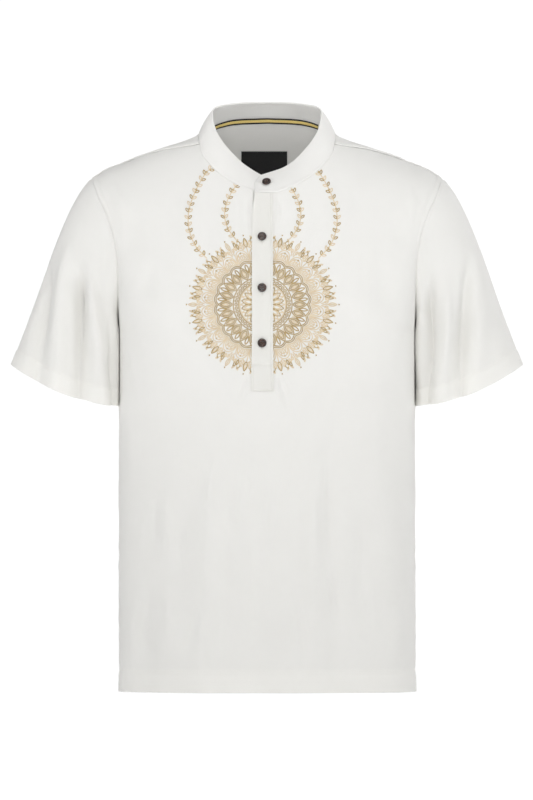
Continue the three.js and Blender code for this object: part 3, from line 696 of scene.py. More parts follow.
def makeBack():
    lapSteps = seamLook["lapSteps"]
    s = backS
    top = levelV(True, s, yokeSeam["backZ"])
    lapV = top - seamLook["lap"] / speedV(True, s, top)
    rows = [mix(lapV, top, k / lapSteps) for k in range(lapSteps)]
    rows += [mix(top, 1.0, f) for f in spaced((0, 0.02, 5), (0.02, 1, 44))[:-1]]
    rows += [np.full_like(s, 1 + f) for f in spaced(*hemStretches(0, 96, **bodyHem))]
    v = np.array(rows)
    grid = np.broadcast_to(s, v.shape)
    points, normals = torso(True, grid, v), torsoNormal(True, grid, v)
    d = rowDistance(points, lapSteps)
    side = sideDistance(points)
    bottom = -rowDistance(points, -1)
    across, heights, armhole = points[..., 0], points[..., 2], v < 1.0
    lift = foldDepth(backFolds, points) + foldDepth(backCreases, points, (0.35, 0.45))
    lift += seamLook["under"] * (1 - smooth(0, 2.5, d))
    lift += puckers(across, d - 3, 21) * (d > 0)
    lift += np.where(armhole, proudEdge(side) + puckers(heights, side - seamLook["armholeLine"], 22),
                     seamLook["under"] * (1 - smooth(0, 3, side)))
    lift += hemShape(bottom, across, seamLook["hem"], 24)
    lift -= np.where(armhole, turnedEdge(side), 0)
    panel = Panel(points + normals * lift[..., None], normals)
    doubled = armhole & (side < seamLook["doubled"])
    piece = hemmedWall("backCloth", panel, bottom, seamLook["hem"], None, doubled)
    return piece, panel, {"v": v}


def makeYoke():
    s = backS
    inNeck = np.abs(s) < neckS - 1e-6
    front, corner, low = yokeFrontV(s), yokeSeam["neckCorner"], levelV(True, s, yokeSeam["backZ"])
    over = spaced((0, 0.06, 6), (0.06, 1, 24))
    backTop = np.where(inNeck, neckV(True, s), corner)
    down = spaced((0, 0.94, 30), (0.94, 1, 7))
    way = np.array([mix(-front, corner, f) for f in over[:-1]] + [mix(backTop, low, f) for f in down])
    overRows = len(over) - 1
    way[:overRows, inNeck] = backTop[inNeck]
    isBack = way >= 0
    grid = np.broadcast_to(s, way.shape)
    points, normals = torso(isBack, grid, np.abs(way)), torsoNormal(isBack, grid, np.abs(way))
    fromFront = np.where(inNeck[None, :], 99, rowDistance(points, 0))
    fromBack = -rowDistance(points, -1)
    side = sideDistance(points)
    edge = np.minimum(np.minimum(fromFront, fromBack), side)
    lift = seamLook["over"] * (1 - smooth(4, 10, edge)) - turnedEdge(edge)
    lift += puckers(points[..., 0], fromFront - 4, 31) + puckers(points[..., 0], fromBack - 5, 32)
    lift += puckers(points[..., 1], side - seamLook["armholeLine"], 33)
    panel = Panel(points + normals * lift[..., None], normals)
    keep = np.ones((len(way) - 1, len(s) - 1), bool)
    keep[:overRows] &= ~(inNeck[:-1] | inNeck[1:])[None, :]
    piece = clothWall("yokeCloth", panel, white, clothThickness, keep, doubled=(edge < seamLook["doubled"]))
    return piece, panel, inNeck


frontCloth, frontPanel, frontFacts = makeFront()
backCloth, backPanel, backFacts = makeBack()
yokeCloth, yokePanel, yokeInNeck = makeYoke()
print("body panels made")


# sleeves
sleeveHem = {"x": 260.0, "z": -318.5, "halfWidth": 68.0, "halfDepth": 48.0, "tilt": 26.5, "sag": 11.0}
sleeveRun = {"topStart": (110, -90), "topEnd": (110, -250), "underStart": (6, -80), "underEnd": (4, -100)}
sleeveLook = {
    "around": 150,
    "length": 262.0,
    "girth": 480.0,
    "armholeGap": 0.75,
    "closeIn": 7.0,  # the underside hangs this much closer to the body
    "closeWidth": 0.13,
    "clear": (2.3, 0.85, 0.3),  # distance kept to the body: at the hem in front, behind, and at the armhole
    "squareness": 0.3,
    "lap": (5.0, 0.4),  # at the shoulder and at the underarm
    "lapSpeed": 175,
}
sleeveFolds = {
    "left": {
        "front": [(211, -165, 199, -330, 10, -14), (261, -140, 244, -330, 9, -12),
                  (231, -180, 226, -330, 10, 7), (276, -205, 268, -330, 13, 5)],
        "back": [(219, -195, 226, -335, 14, -6), (258, -170, 270, -320, 16, -4)],
    },
    "right": {
        "front": [(-239, -150, -237, -330, 9, -15), (-254, -125, -273, -330, 12, 7),
                  (-280, -150, -296, -310, 9, -9), (-226, -160, -213, -345, 11, 8),
                  (-200, -265, -197, -345, 7, -8)],
        "back": [(-225, -190, -232, -330, 15, -6), (-262, -160, -276, -315, 16, -4)],
    },
}
sleeveCreases = {
    "left": {
        "front": [(233, -90, 243, -150, 9, -1.0), (208, -112, 206, -175, 7, 1.0),
                  (212, -190, 202, -322, 6, -4.5), (256, -200, 244, -318, 6.5, -5.0),
                  (233, -215, 227, -322, 7, 3.2), (200, -190, 195, -300, 6, 2.6),
                  (268, -215, 262, -320, 9, 2.8), (239, -278, 235, -372, 2.6, -2.6),
                  (245, -282, 243, -372, 2.4, 2.2), (251, -280, 250, -370, 2.3, -2.4),
                  (232, -284, 229, -372, 2.4, 1.6), (257, -286, 257, -366, 2.2, 1.4),
                  (262, -130, 280, -230, 11, 1.6), (284, -170, 300, -262, 10, -1.8)],
        "back": [(212, -130, 214, -230, 9, 1.6), (240, -150, 246, -280, 9, -1.5)],
    },
    "right": {
        "front": [(-234, -92, -246, -160, 9, 0.9), (-207, -120, -204, -190, 7, -1.1),
                  (-240, -165, -236, -324, 7, -5.0), (-254, -120, -274, -305, 9, 4.0),
                  (-277, -150, -296, -290, 9, -4.0), (-229, -160, -218, -260, 8, 3.0),
                  (-215, -240, -222, -330, 7, 2.6), (-203, -225, -196, -326, 6, -4.0),
                  (-256, -225, -252, -318, 5, -2.2), (-264, -255, -268, -312, 4, 1.2),
                  (-292, -230, -306, -300, 7, 1.2)],
        "back": [(-212, -130, -214, -230, 9, 1.6), (-240, -150, -246, -280, 9, -1.5)],
    },
}


def sleeveSurface(hand, roundShare, out):
    # round from the front of the shoulder tip past the underarm, and out from armhole to hem
    t = np.where(roundShare < 0.5, roundShare * 2, 2 - roundShare * 2)
    start = torso(roundShare >= 0.5, 1.0, t)
    start[..., 0] += sleeveLook["armholeGap"]
    cos, sin = np.cos(roundShare * 2 * math.pi), np.sin(roundShare * 2 * math.pi)
    endX = sleeveHem["x"] + sleeveHem["halfWidth"] * cos
    endY = -sleeveHem["halfDepth"] * sin
    endZ = sleeveHem["z"] + sleeveHem["tilt"] * cos - sleeveHem["sag"] * sin * sin
    h00, h10, h01, h11 = hermite(out)
    top = (1 + cos) / 2
    run = lambda name, axis: mix(sleeveRun["under" + name][axis], sleeveRun["top" + name][axis], top)
    x = start[..., 0] * h00 + run("Start", 0) * h10 + endX * h01 + run("End", 0) * h11
    z = start[..., 2] * h00 + run("Start", 1) * h10 + endZ * h01 + run("End", 1) * h11
    return np.stack([hand * x, mix(start[..., 1], endY, out), z], axis=-1)


def sideTable(isBack, levels, depths):
    # x of the body's side at each height and depth
    s, z = np.meshgrid(np.linspace(0.6, 1, 81), levels)
    ring = torso(isBack, s, levelV(isBack, s, z))
    return np.array([np.interp(depths, np.abs(row[::-1, 1]), row[::-1, 0]) for row in ring])


sideLevels, sideDepths = np.linspace(-380, -120, 53), np.linspace(0, 100, 101)
sideTables = [sideTable(isBack, sideLevels, sideDepths) for isBack in (False, True)]


def bodyEdge(y, z):
    row = np.clip((z - sideLevels[0]) / (sideLevels[1] - sideLevels[0]), 0, len(sideLevels) - 1.001)
    column = np.clip(np.abs(y), 0, len(sideDepths) - 1.1)
    i, j = row.astype(int), column.astype(int)
    a, b = row - i, column - j

    def read(table):
        return mix(mix(table[i, j], table[i, j + 1], b), mix(table[i + 1, j], table[i + 1, j + 1], b), a)

    front, back = [read(table) for table in sideTables]
    return np.where(y > 0, back, front)


def evenShares(hand, count):
    # places round the sleeve, spread evenly by length at the armhole and the hem together
    dense = np.linspace(0, 1, 2001)
    lengths = [runLengths(sleeveSurface(hand, dense, np.full_like(dense, out))) for out in (0, 1)]
    even = (lengths[0] / lengths[0][-1] + lengths[1] / lengths[1][-1]) / 2
    return np.interp((np.arange(count) + 0.5) / count, even, dense)


def sleeveLap(hand, roundShare, t):
    # two rows that run on under the body's edge
    isBack = roundShare >= 0.5
    reach = mix(*sleeveLook["lap"], smooth(0.6, 0.9, t)) / sleeveLook["lapSpeed"]
    points, normals = [], []
    for k in (1.0, 0.5):
        s = 1 - reach * k
        normal = torsoNormal(isBack, s, t) * [hand, 1, 1]
        points.append(torso(isBack, s, t) * [hand, 1, 1] + normal * seamLook["under"] * 1.6)
        normals.append(normal)
    return np.array(points), normals


def makeSleeve(name, hand, folds, creases):
    around, hem = sleeveLook["around"], seamLook["sleeveHem"]
    roundShare = evenShares(hand, around)
    out = spaced((0, 0.012, 4), *hemStretches(0.012, 62, hem / sleeveLook["length"], 0.04, 0.99))
    grid, outGrid = np.broadcast_to(roundShare, (len(out), around)), np.repeat(out[:, None], around, 1)
    plain = sleeveSurface(hand, grid, outGrid)
    normals = gridNormals(plain, True, hand)
    lift = np.zeros(plain.shape[:2])
    for face, sign in (("front", -1), ("back", 1)):
        both = foldDepth(folds[face], plain) + foldDepth(creases[face], plain, (0.35, 0.4))
        lift += smooth(-6, 6, plain[..., 1] * sign) * both
    d = rowDistance(plain, 0)
    bottom = -rowDistance(plain, -1)
    t = np.where(grid < 0.5, grid * 2, 2 - grid * 2)
    arc = np.cumsum(np.full_like(grid, sleeveLook["girth"] / around), axis=1)
    lift += puckers(arc, d - 3, 41 + hand) * (1 - smooth(0.6, 0.9, t)) * smooth(0, 3, d)
    lift += seamLook["under"] * (1 - smooth(0.5, 4.5, d)) * (1 - smooth(0.7, 0.9, t))
    lift += hemShape(bottom, arc, hem, 44 + hand)
    points = plain + normals * lift[..., None]
    # fuller in front and behind, and close along the body underneath, without touching it
    cos, sin = np.cos(grid * 2 * math.pi), np.sin(grid * 2 * math.pi)
    fuller = np.sign(sin) * (np.abs(sin) ** sleeveLook["squareness"] - np.abs(sin)) * smooth(0.1, -0.6, cos)
    points[..., 1] -= sleeveHem["halfDepth"] * fuller * smooth(0.12, 0.6, outGrid)
    under = bell(grid - 0.5, sleeveLook["closeWidth"]) * smooth(0.05, 0.35, outGrid)
    points[..., 0] -= hand * sleeveLook["closeIn"] * under
    inFront, behind, atArmhole = sleeveLook["clear"]
    clear = mix(inFront, behind, smooth(10, 22, -points[..., 1]))
    nearest = bodyEdge(points[..., 1], points[..., 2]) + mix(atArmhole, clear, smooth(0, 0.15, outGrid))
    points[..., 0] = hand * np.maximum(hand * points[..., 0], nearest)
    lapPoints, lapNormals = sleeveLap(hand, roundShare, t[0])
    points = np.concatenate([lapPoints, points])
    turned = gridNormals(points, True, hand)
    blend = (1 - smooth(0.35, 0.7, t[0]))[:, None]
    for row, normal in enumerate(lapNormals):
        turned[row] = unit(mix(normals[0], normal, blend))
    panel = Panel(points, turned, True)
    bottom = np.concatenate([np.full((2, around), 999.0), bottom])  # the lap is far from the hem
    return hemmedWall(name, panel, bottom, hem), panel


sleeveLeft, leftPanel = makeSleeve("sleeveLeftCloth", 1, sleeveFolds["left"], sleeveCreases["left"])
sleeveRight, rightPanel = makeSleeve("sleeveRightCloth", -1, sleeveFolds["right"], sleeveCreases["right"])
print("sleeves made")


# collar, as points of (x, y, z)
collarTop = [(19.9, -36, -40.7), (32.5, -34, -33), (42.7, -31, -23.3), (52, -26.5, -12.6), (59, -21, -3),
             (65.5, -12, 10), (69, -1, 27), (67, 9, 36.5), (55, 17, 41), (30, 21, 43.8), (0, 22, 44.5)]
overEnd = [(-16, -38, -53), (-6, -37.5, -49.5), (6, -37, -45.6)]
underEnd = [(-8, -38.5, -55), (6, -37.5, -48.5)]
collarLook = {
    "wall": 1.9,
    "height": 31.0,
    "columns": 110,  # on each side
    "proud": 1.2,  # how far the band stands off the neck seam
    "bow": 1.6,
    "step": 2.7,  # the end beneath lies this much deeper
    "blend": 30.0,
    "foot": (0.9, 1.7, 2.2),  # rows of its foot, down from the seam
    "footLift": (1.05, 1.05, 0.7),
    "footWall": (1.2, 0.9, 0.8),
    "topLine": 2.6,
    "footLine": 2.2,
    "dip": 0.28,
}


def splineThrough(points, count):
    # evenly spaced points on a smooth line through points
    points = np.asarray(points, float)
    steps = np.sqrt(np.linalg.norm(np.diff(points, axis=0), axis=1))
    knots = np.concatenate([[0], np.cumsum(steps)])
    fine = np.linspace(0, knots[-1], 1200)
    line = np.stack([along(list(zip(knots, points[:, k])), fine) for k in range(3)], axis=1)
    lengths = runLengths(line)
    want = np.linspace(0, lengths[-1], count)
    return np.stack([np.interp(want, lengths, line[:, k]) for k in range(3)], axis=1)


def neckSeam(fromX):
    # round one half of the neck, from a place in front to the middle of the back
    s = np.linspace(float(acrossAt(fromX)), neckS, 60)[:-1]
    frontPart = torso(False, s, neckV(False, s))
    way = np.linspace(-float(yokeFrontV(np.array(neckS))), yokeSeam["neckCorner"], 16)
    sidePart = torso(way >= 0, neckS, np.abs(way))
    s = np.linspace(neckS, 0, 60)[1:]
    return np.concatenate([frontPart, sidePart, torso(True, s, neckV(True, s))])


def footDirection(points):
    # down the body's surface from the neck seam
    isBack = points[:, 1] > shoulder["ridgeY"]
    widest = shoulder["neckHalfWidth"] - 0.1
    s = np.clip(acrossAt(np.clip(points[:, 0], -widest, widest)), -neckS, neckS)
    v = np.where(isBack, neckV(True, s), neckV(False, s))
    return unit(torso(isBack, s, v + 0.01) - torso(isBack, s, v)), torsoNormal(isBack, s, v)


def makeCollar():
    sideCount, height = collarLook["columns"], collarLook["height"]
    sides = []
    for hand, end in ((-1, underEnd), (1, overEnd)):
        low = splineThrough(neckSeam(end[0][0])[::3], sideCount)
        high = splineThrough(end + collarTop, sideCount)
        foot, normal = footDirection(low)
        sides.append([part * [hand, 1, 1] for part in (low, high, foot, normal)])
    low, high, foot, footNormal = [np.concatenate([under, over[:-1][::-1]]) for under, over in zip(*sides)]
    up = spaced((0, 0.06, 5), (0.06, 0.94, 14), (0.94, 1, 5))[::-1]
    plain = np.array([mix(low, high, f) for f in up])
    normals = gridNormals(plain, False, 1)
    bow = np.array([collarLook["bow"] * math.sin(math.pi * f) for f in up])[:, None]
    lapLength = -underEnd[0][0] - overEnd[0][0]
    past = np.linalg.norm(plain - plain[:, :1], axis=-1)
    lapped = np.where(np.arange(plain.shape[1])[None, :] > sideCount, 0,
                      1 - smooth(lapLength, lapLength + collarLook["blend"], past))
    lift = collarLook["proud"] + bow - collarLook["step"] * lapped
    fromTop = np.array([(1 - f) * height for f in up])[:, None]
    fromFoot = height - fromTop
    fromEnd = np.minimum(past, np.linalg.norm(plain - plain[:, -1:], axis=-1))
    arc = np.cumsum(np.full(plain.shape[:2], 2.1), axis=1)
    # dips under the two lines of stitches, with small puckers beside them
    for distance, line in ((fromTop, collarLook["topLine"]), (fromFoot, collarLook["footLine"])):
        lift = lift - collarLook["dip"] * bell(distance - line, 0.9)
    lift = lift + 0.22 * ripple(arc, 6, 51) * bell(fromFoot - 3, 5)
    lift = lift + 0.12 * ripple(arc, 7, 52) * bell(fromTop - 4, 4)
    # the foot of the band lies on the body, just below the seam
    footRows = []
    for length, drop in zip(collarLook["foot"], collarLook["footLift"]):
        offset = drop - collarLook["step"] * lapped[-1]
        footRows.append(low + foot * length + footNormal * offset[:, None])
    panel = Panel(np.concatenate([plain + normals * lift[..., None], footRows]),
                  np.concatenate([normals, [footNormal] * len(footRows)]))
    edge = np.concatenate([np.minimum(fromTop, fromEnd), np.minimum(fromEnd[-1], [[1.3], [0.5], [0.0]])])
    wall = np.full(edge.shape, collarLook["wall"])
    wall[-len(footRows):] = np.array(collarLook["footWall"])[:, None]
    return clothWall("collarCloth", panel, collarWhite, wall, None, edgeRound(edge, 0.9)), panel, len(up) - 1


collarCloth, collarPanel, collarFootRow = makeCollar()
print("collar made")


def onFront(x, z):
    # points on the front as it hangs, from the outside
    x, z = np.broadcast_arrays(np.asarray(x, float), np.asarray(z, float))
    shape, x, z = x.shape, x.ravel(), z.ravel()
    i = np.interp(acrossAt(x), frontS, np.arange(len(frontS)))
    i0 = np.clip(np.floor(i).astype(int), 0, len(frontS) - 2)
    heights = frontPanel.points[..., 2]
    column = mix(heights[:, i0], heights[:, i0 + 1], i - i0)
    j0 = np.clip((column > z).sum(axis=0) - 1, 0, len(column) - 2)
    each = np.arange(len(z))
    above, below = column[j0, each], column[j0 + 1, each]
    points, normals = frontPanel.at(j0 + (above - z) / (above - below), i)
    return points.reshape(*shape, 3), normals.reshape(*shape, 3)


# placket
placket = {
    "width": 27.0,
    "topZ": -70.0,
    "boxTop": -293.0,  # upper line of the stitched box
    "endZ": -326.0,
    "topDrop": 2.4,
    "lift": 1.95,
    "leastLift": 1.2,
    "thickness": 1.0,
    "topShift": 3.6,  # the open edge swings in at the top
    "flare": 0.9,
    "stitchIn": 2.4,
    "boxIn": 1.6,
    "boxEnd": 1.4,
    "groove": 0.6,
    "boxGroove": 0.8,
}
underPlacket = {"width": 25.0, "endZ": -321.0, "topDrop": 3.0, "lift": -1.1, "thickness": 1.0}
placketButtons = [(-6.3, -129.8), (-6.3, -194.8), (-6.3, -264.4)]


def placketEdge(side, z):
    # x of the placket's open (-1) or sewn (1) edge
    shift = placket["topShift"] * (1 - smooth(66, 112, -z)) if side < 0 else 0.0
    flare = placket["flare"] * smooth(250, -placket["endZ"], -z) * side
    return centreX + side * placket["width"] / 2 + shift + flare


def placketTop(x, drop):
    return along(frontNeckline, np.abs(x)) - drop


def makePlacket():
    f = spaced((0, 0.04, 4), (0.04, 0.96, 26), (0.96, 1, 4))
    g = spaced((0, 0.004, 3), (0.004, 0.86, 120), (0.86, 0.995, 30), (0.995, 1, 4))
    z = mix(placket["topZ"], placket["endZ"], g)[:, None]
    x = mix(placketEdge(-1, z), placketEdge(1, z), f[None, :])
    z = mix(placketTop(x, placket["topDrop"]), placket["endZ"], g[:, None])
    points, normals = onFront(x, z)
    fromOpen, fromSewn = f[None, :] * placket["width"], (1 - f[None, :]) * placket["width"]
    fromTop, fromEnd = placket["topZ"] - z, z - placket["endZ"]
    lift = np.full(x.shape, placket["lift"])
    lift -= placket["groove"] * bell(fromSewn - placket["stitchIn"], 0.9)
    fromBox = z - placket["boxTop"]
    inBox = smooth(-2, 0, -fromBox)
    for distance, line in ((fromOpen, "boxIn"), (fromSewn, "boxIn"), (fromEnd, "boxEnd")):
        lift -= placket["groove"] * bell(distance - placket[line], 0.8) * inBox
    lift -= placket["boxGroove"] * bell(fromBox, 1.1)
    # the open edge stands off a little between the buttons, most at the top
    sway = sum(bell(z - place, 13) for place in (-161, -229))
    lift += (0.5 * sway + 0.9 * bell(z + 92, 16)) * bell(fromOpen, 6) * (1 - inBox)
    lift += 0.16 * ripple(z, 7, 61) * bell(fromSewn - 3, 4) + 0.1 * ripple(z * 0.7 + x, 9, 62)
    # a crease runs aslant above the box
    lift += 0.25 * bell(z + 0.35 * x + 284, 3.0) * bell(fromSewn - 10, 9)
    edge = np.minimum(np.minimum(fromOpen, fromSewn), np.minimum(fromTop + 1, fromEnd))
    panel = Panel(points + normals * np.maximum(lift, placket["leastLift"])[..., None], normals)
    piece = clothWall("placketOver", panel, placketShadedWhite, placket["thickness"], None, edgeRound(edge, 0.7))
    return piece, panel


def makeUnderPlacket():
    f, g = spaced((0, 0.05, 3), (0.05, 0.95, 10), (0.95, 1, 3)), spaced((0, 1, 90))
    f, g = np.meshgrid(f, g)
    x = centreX + (f - 0.5) * underPlacket["width"]
    z = mix(placketTop(x, underPlacket["topDrop"]), underPlacket["endZ"], g)
    points, normals = onFront(x, z)
    edge = np.minimum(f, 1 - f) * underPlacket["width"]
    panel = Panel(points + normals * underPlacket["lift"], normals)
    piece = clothWall("placketUnder", panel, white, underPlacket["thickness"], None, edgeRound(edge, 0.6))
    return piece, panel


# the placket is the body's cotton, painted a few levels darker as painted shade
placketShadedWhite = wovenMaterial("placketShadedCotton", linear(238, 237, 232), 0.92)
placketOver, placketPanel = makePlacket()
placketUnder, underPanel = makeUnderPlacket()


# tape in the neck, and the plain label
tape = {
    "left": -68.0, "right": 66.0, "top": 0.4, "width": 8.3, "lift": -1.4, "thickness": 0.7,
    "band": 0.24,  # half the gold band, as a share of the width
    "grooves": (0.26, 0.74),
    "crown": 0.25, "groove": 0.18,
    "gold": (linear(224, 192, 104), linear(255, 232, 150)), "black": linear(38, 36, 38),
    "twill": (2400, 1500), "edgeTwill": 5200, "twillDepth": 0.00009, "ridge": 0.00016,
}
label = {
    "left": -33.0, "right": 26.0, "top": -17.0, "bottom": -55.0, "lift": -1.15, "thickness": 0.55,
    "bow": 0.7, "black": (linear(19, 19, 21), linear(33, 33, 36)),
    "ribs": (5200, 14000), "ribDepth": 0.00004,
}


def tapeMaterial():
    material, nodes, shader = newMaterial("wovenTape", {
        "Roughness": 0.62, "Sheen Weight": 0.15, "Specular IOR Level": 0.4})
    place, parts = clothPlace(nodes)
    down = parts["Y"] * (-1000 / tape["width"])
    middle = (down - 0.5).size() < tape["band"]
    gold = tint(nodes, noise(nodes, place, 900.0, 1.0), *tape["gold"])
    connect(shader, "Base Color", tint(nodes, middle, tape["black"], gold))
    twillX, twillY = tape["twill"]
    slanted = (parts["X"] * twillX + parts["Y"] * twillY) * middle
    twist = (slanted + parts["X"] * tape["edgeTwill"] * (1 - middle)).sine()
    low, high = [(down - line).size() > 0.02 for line in tape["grooves"]]
    raiseBy(shader, twist * tape["twillDepth"] + low * high * tape["ridge"], 0.8)
    return material


def labelMaterial():
    material, nodes, shader = newMaterial("satinLabel", {
        "Roughness": 0.42, "Sheen Weight": 0.1, "Specular IOR Level": 0.5})
    place, parts = clothPlace(nodes)
    connect(shader, "Base Color", tint(nodes, noise(nodes, place, 400.0, 2.0), *label["black"]))
    ribsX, ribsY = label["ribs"]
    ribs = (parts["Y"] * ribsY).sine() * 0.5 + (parts["X"] * ribsX).sine() * 0.35
    raiseBy(shader, ribs * label["ribDepth"], 0.7)
    return material


def makeTape():
    g = spaced((0, 0.3, 5), (0.3, 0.7, 6), (0.7, 1, 5))
    x, g = np.meshgrid(np.linspace(tape["left"], tape["right"], 90), g)
    s = acrossAt(x)
    start = neckV(True, s[0])
    v = start + (tape["top"] + g * tape["width"]) / speedV(True, s[0], start)
    points, normals = torso(True, s, v), torsoNormal(True, s, v)
    crown = tape["crown"] * np.sin(np.pi * g)
    groove = tape["groove"] * sum(bell(g - place, 0.03) for place in tape["grooves"])
    lift = tape["lift"] - crown + groove + 0.12 * ripple(x, 6, 71)
    panel = Panel(points + normals * lift[..., None], normals)
    ends = np.minimum(x - tape["left"], tape["right"] - x)
    edge = edgeRound(np.minimum(np.minimum(g, 1 - g) * tape["width"], ends))
    thickness = tape["thickness"] + crown - groove
    return clothWall("neckTape", panel, tapeMaterial(), thickness, None, edge, (0, 0)), panel


def makeLabel():
    f, g = np.meshgrid(spaced((0, 0.03, 4), (0.03, 0.97, 30), (0.97, 1, 4)),
                       spaced((0, 0.05, 4), (0.05, 0.95, 22), (0.95, 1, 4)))
    x, z = mix(label["left"], label["right"], f), mix(label["top"], label["bottom"], g)
    s = acrossAt(x)
    v = levelV(True, s, z)
    points, normals = torso(True, s, v), torsoNormal(True, s, v)
    width, height = label["right"] - label["left"], label["top"] - label["bottom"]
    edge = edgeRound(np.minimum(np.minimum(f, 1 - f) * width, np.minimum(g, 1 - g) * height))
    # the loose lower edge bows a little off the cloth
    bow = label["bow"] * smooth(0.3, 1, g) * np.sin(np.pi * f) ** 2
    lift = label["lift"] - bow - 0.12 * ripple(x, 11, 72)
    panel = Panel(points + normals * lift[..., None], normals)
    return clothWall("plainLabel", panel, labelMaterial(), label["thickness"], None, edge), panel


neckTape, tapePanel = makeTape()
plainLabel, labelPanel = makeLabel()
print("placket, tape and label made")


# buttons
button = {"thickness": 2.6, "hole": 0.85, "holeAt": 1.55, "thread": 0.32, "threadApart": 0.6, "steps": 72,
          "holeSteps": 20, "offCollar": 0.35, "offPlacket": 0.3}
# the button's half section as (radius, height), and a thread's way between two holes
buttonProfile = [(3.6, 0), (4.14, 0.02), (4.9, 0.45), (5.45, 0.85), (5.7, 1.2), (5.75, 1.45),
                 (5.68, 1.85), (5.45, 2.3), (5.1, 2.54), (4.75, 2.6), (4.4, 2.55), (4.15, 2.4), (3.95, 2.15),
                 (3.75, 1.98), (3.5, 1.93), (3.3, 1.97), (3.1, 2.02), (2.9, 1.98), (2.6, 1.9), (1.2, 1.84)]
threadWay = [(-1.0, 0.3), (-1.0, 1.5), (-0.85, 2.05), (-0.4, 2.22), (0, 2.25), (0.4, 2.22), (0.85, 2.05),
             (1.0, 1.5), (1.0, 0.3)]
hornLook = {
    "stops": [(0.32, linear(24, 16, 14)), (0.5, linear(48, 32, 27)), (0.66, linear(88, 60, 48)),
              (0.8, linear(120, 90, 74))],
    "cloud": 260.0, "grain": 2600.0, "grainDepth": 0.00003,
}
threadLook = {"Roughness": 0.55, "Sheen Weight": 0.2, "Specular IOR Level": 0.4}


def hornMaterial():
    material, nodes, shader = newMaterial("darkHorn", {
        "Roughness": 0.3, "Specular IOR Level": 0.5, "Coat Weight": 0.25, "Coat Roughness": 0.2})
    place = nodes.add("ShaderNodeTexCoord")["Object"]
    cloud = noise(nodes, place, hornLook["cloud"], 4.0, Distortion=1.4)
    ramp = nodes.add("ShaderNodeValToRGB", {"stops": hornLook["stops"]}, {"Fac": cloud})
    connect(shader, "Base Color", ramp["Color"])
    connect(shader, "Roughness", cloud * 0.18 + 0.22)
    raiseBy(shader, noise(nodes, place, hornLook["grain"], 2.0) * hornLook["grainDepth"], 0.5)
    return material


def threadMaterial(name, dark, light):
    material, nodes, shader = newMaterial(name, threadLook)
    grain = noise(nodes, nodes.add("ShaderNodeTexCoord")["Object"], 1500.0, 2.0)
    connect(shader, "Base Color", tint(nodes, grain, dark, light))
    raiseBy(shader, grain * 0.00012, 0.6)
    return material


whiteThread = threadMaterial("whiteThread", linear(226, 224, 218), linear(246, 245, 240))
brownThread = threadMaterial("brownThread", linear(58, 42, 34), linear(104, 80, 64))
blackThread = threadMaterial("blackThread", linear(20, 20, 22), linear(44, 44, 46))


def turnTo(normal):
    # axes for a button lying on a surface: across, out, up
    out = normal / np.linalg.norm(normal)
    across = np.cross(out, [0, 0, 1.0])
    across /= np.linalg.norm(across)
    return np.stack([across, out, np.cross(across, out)])


def rimPoints(centre, radius, y, steps):
    angles = np.arange(steps) * 2 * math.pi / steps
    return [(centre[0] + radius * math.cos(a), y, centre[1] + radius * math.sin(a)) for a in angles]


def stackedRings(rings, first=0):
    # closed faces round a stack of equal rings, with a flat end on each side
    steps, faces = len(rings[0]), []
    for ring in range(len(rings) - 1):
        a, b = first + ring * steps, first + (ring + 1) * steps
        faces += [(a + k, b + k, b + (k + 1) % steps, a + (k + 1) % steps) for k in range(steps)]
    last = first + (len(rings) - 1) * steps
    return faces + [tuple(first + k for k in range(steps)), tuple(last + k for k in reversed(range(steps)))]


def looseMesh(name, vertices, faces):
    mesh = bpy.data.meshes.new(name)
    mesh.from_pydata(vertices, [], faces)
    fixNormals(mesh)
    return linkObject(name, mesh)


def buttonMesh():
    # turned about +Y, then drilled
    rings = [rimPoints((0, 0), r, y, button["steps"]) for r, y in buttonProfile]
    blank = looseMesh("buttonBlank", sum(rings, []), stackedRings(rings))
    reach = button["holeAt"] / math.sqrt(2)
    drillVertices, drillFaces = [], []
    for sideX, sideZ in ((1, 1), (1, -1), (-1, 1), (-1, -1)):
        centre = (sideX * reach, sideZ * reach)
        ends = (-1, button["thickness"] + 1)
        rings = [rimPoints(centre, button["hole"], y, button["holeSteps"]) for y in ends]
        drillFaces += stackedRings(rings, len(drillVertices))
        drillVertices += sum(rings, [])
    drill = looseMesh("buttonDrill", drillVertices, drillFaces)
    cut = blank.modifiers.new("holes", "BOOLEAN")
    cut.operation, cut.object, cut.solver = "DIFFERENCE", drill, "EXACT"
    done = plainMesh(blank)
    for each in (blank, drill):
        bpy.data.objects.remove(each)
    return done


def fixNormals(mesh):
    shape = bmesh.new()
    shape.from_mesh(mesh)
    bmesh.ops.remove_doubles(shape, verts=shape.verts, dist=1e-7)
    bmesh.ops.recalc_face_normals(shape, faces=shape.faces)
    shape.to_mesh(mesh)
    shape.free()


def plainMesh(piece):
    # the evaluated object as a mesh of its own
    graph = bpy.context.evaluated_depsgraph_get()
    return bpy.data.meshes.new_from_object(piece.evaluated_get(graph))


def tube(path, radius, sides=8):
    # a closed tube with round ends along a few points
    path = np.asarray(path, float)
    tangent = unit(np.gradient(path, axis=0))
    guide = np.array([0.31, 0.17, 0.93])
    side = unit(np.cross(tangent, guide))
    up = np.cross(side, tangent)
    angle = np.arange(sides) * 2 * math.pi / sides
    circle = side[:, None] * np.cos(angle)[None, :, None] + up[:, None] * np.sin(angle)[None, :, None]
    rings = [path[0] - tangent[0] * radius * 0.7 + circle[0] * radius * 0.6]
    rings += [p + c * radius for p, c in zip(path, circle)]
    rings += [path[-1] + tangent[-1] * radius * 0.7 + circle[-1] * radius * 0.6]
    return np.concatenate(rings), stackedRings(rings)


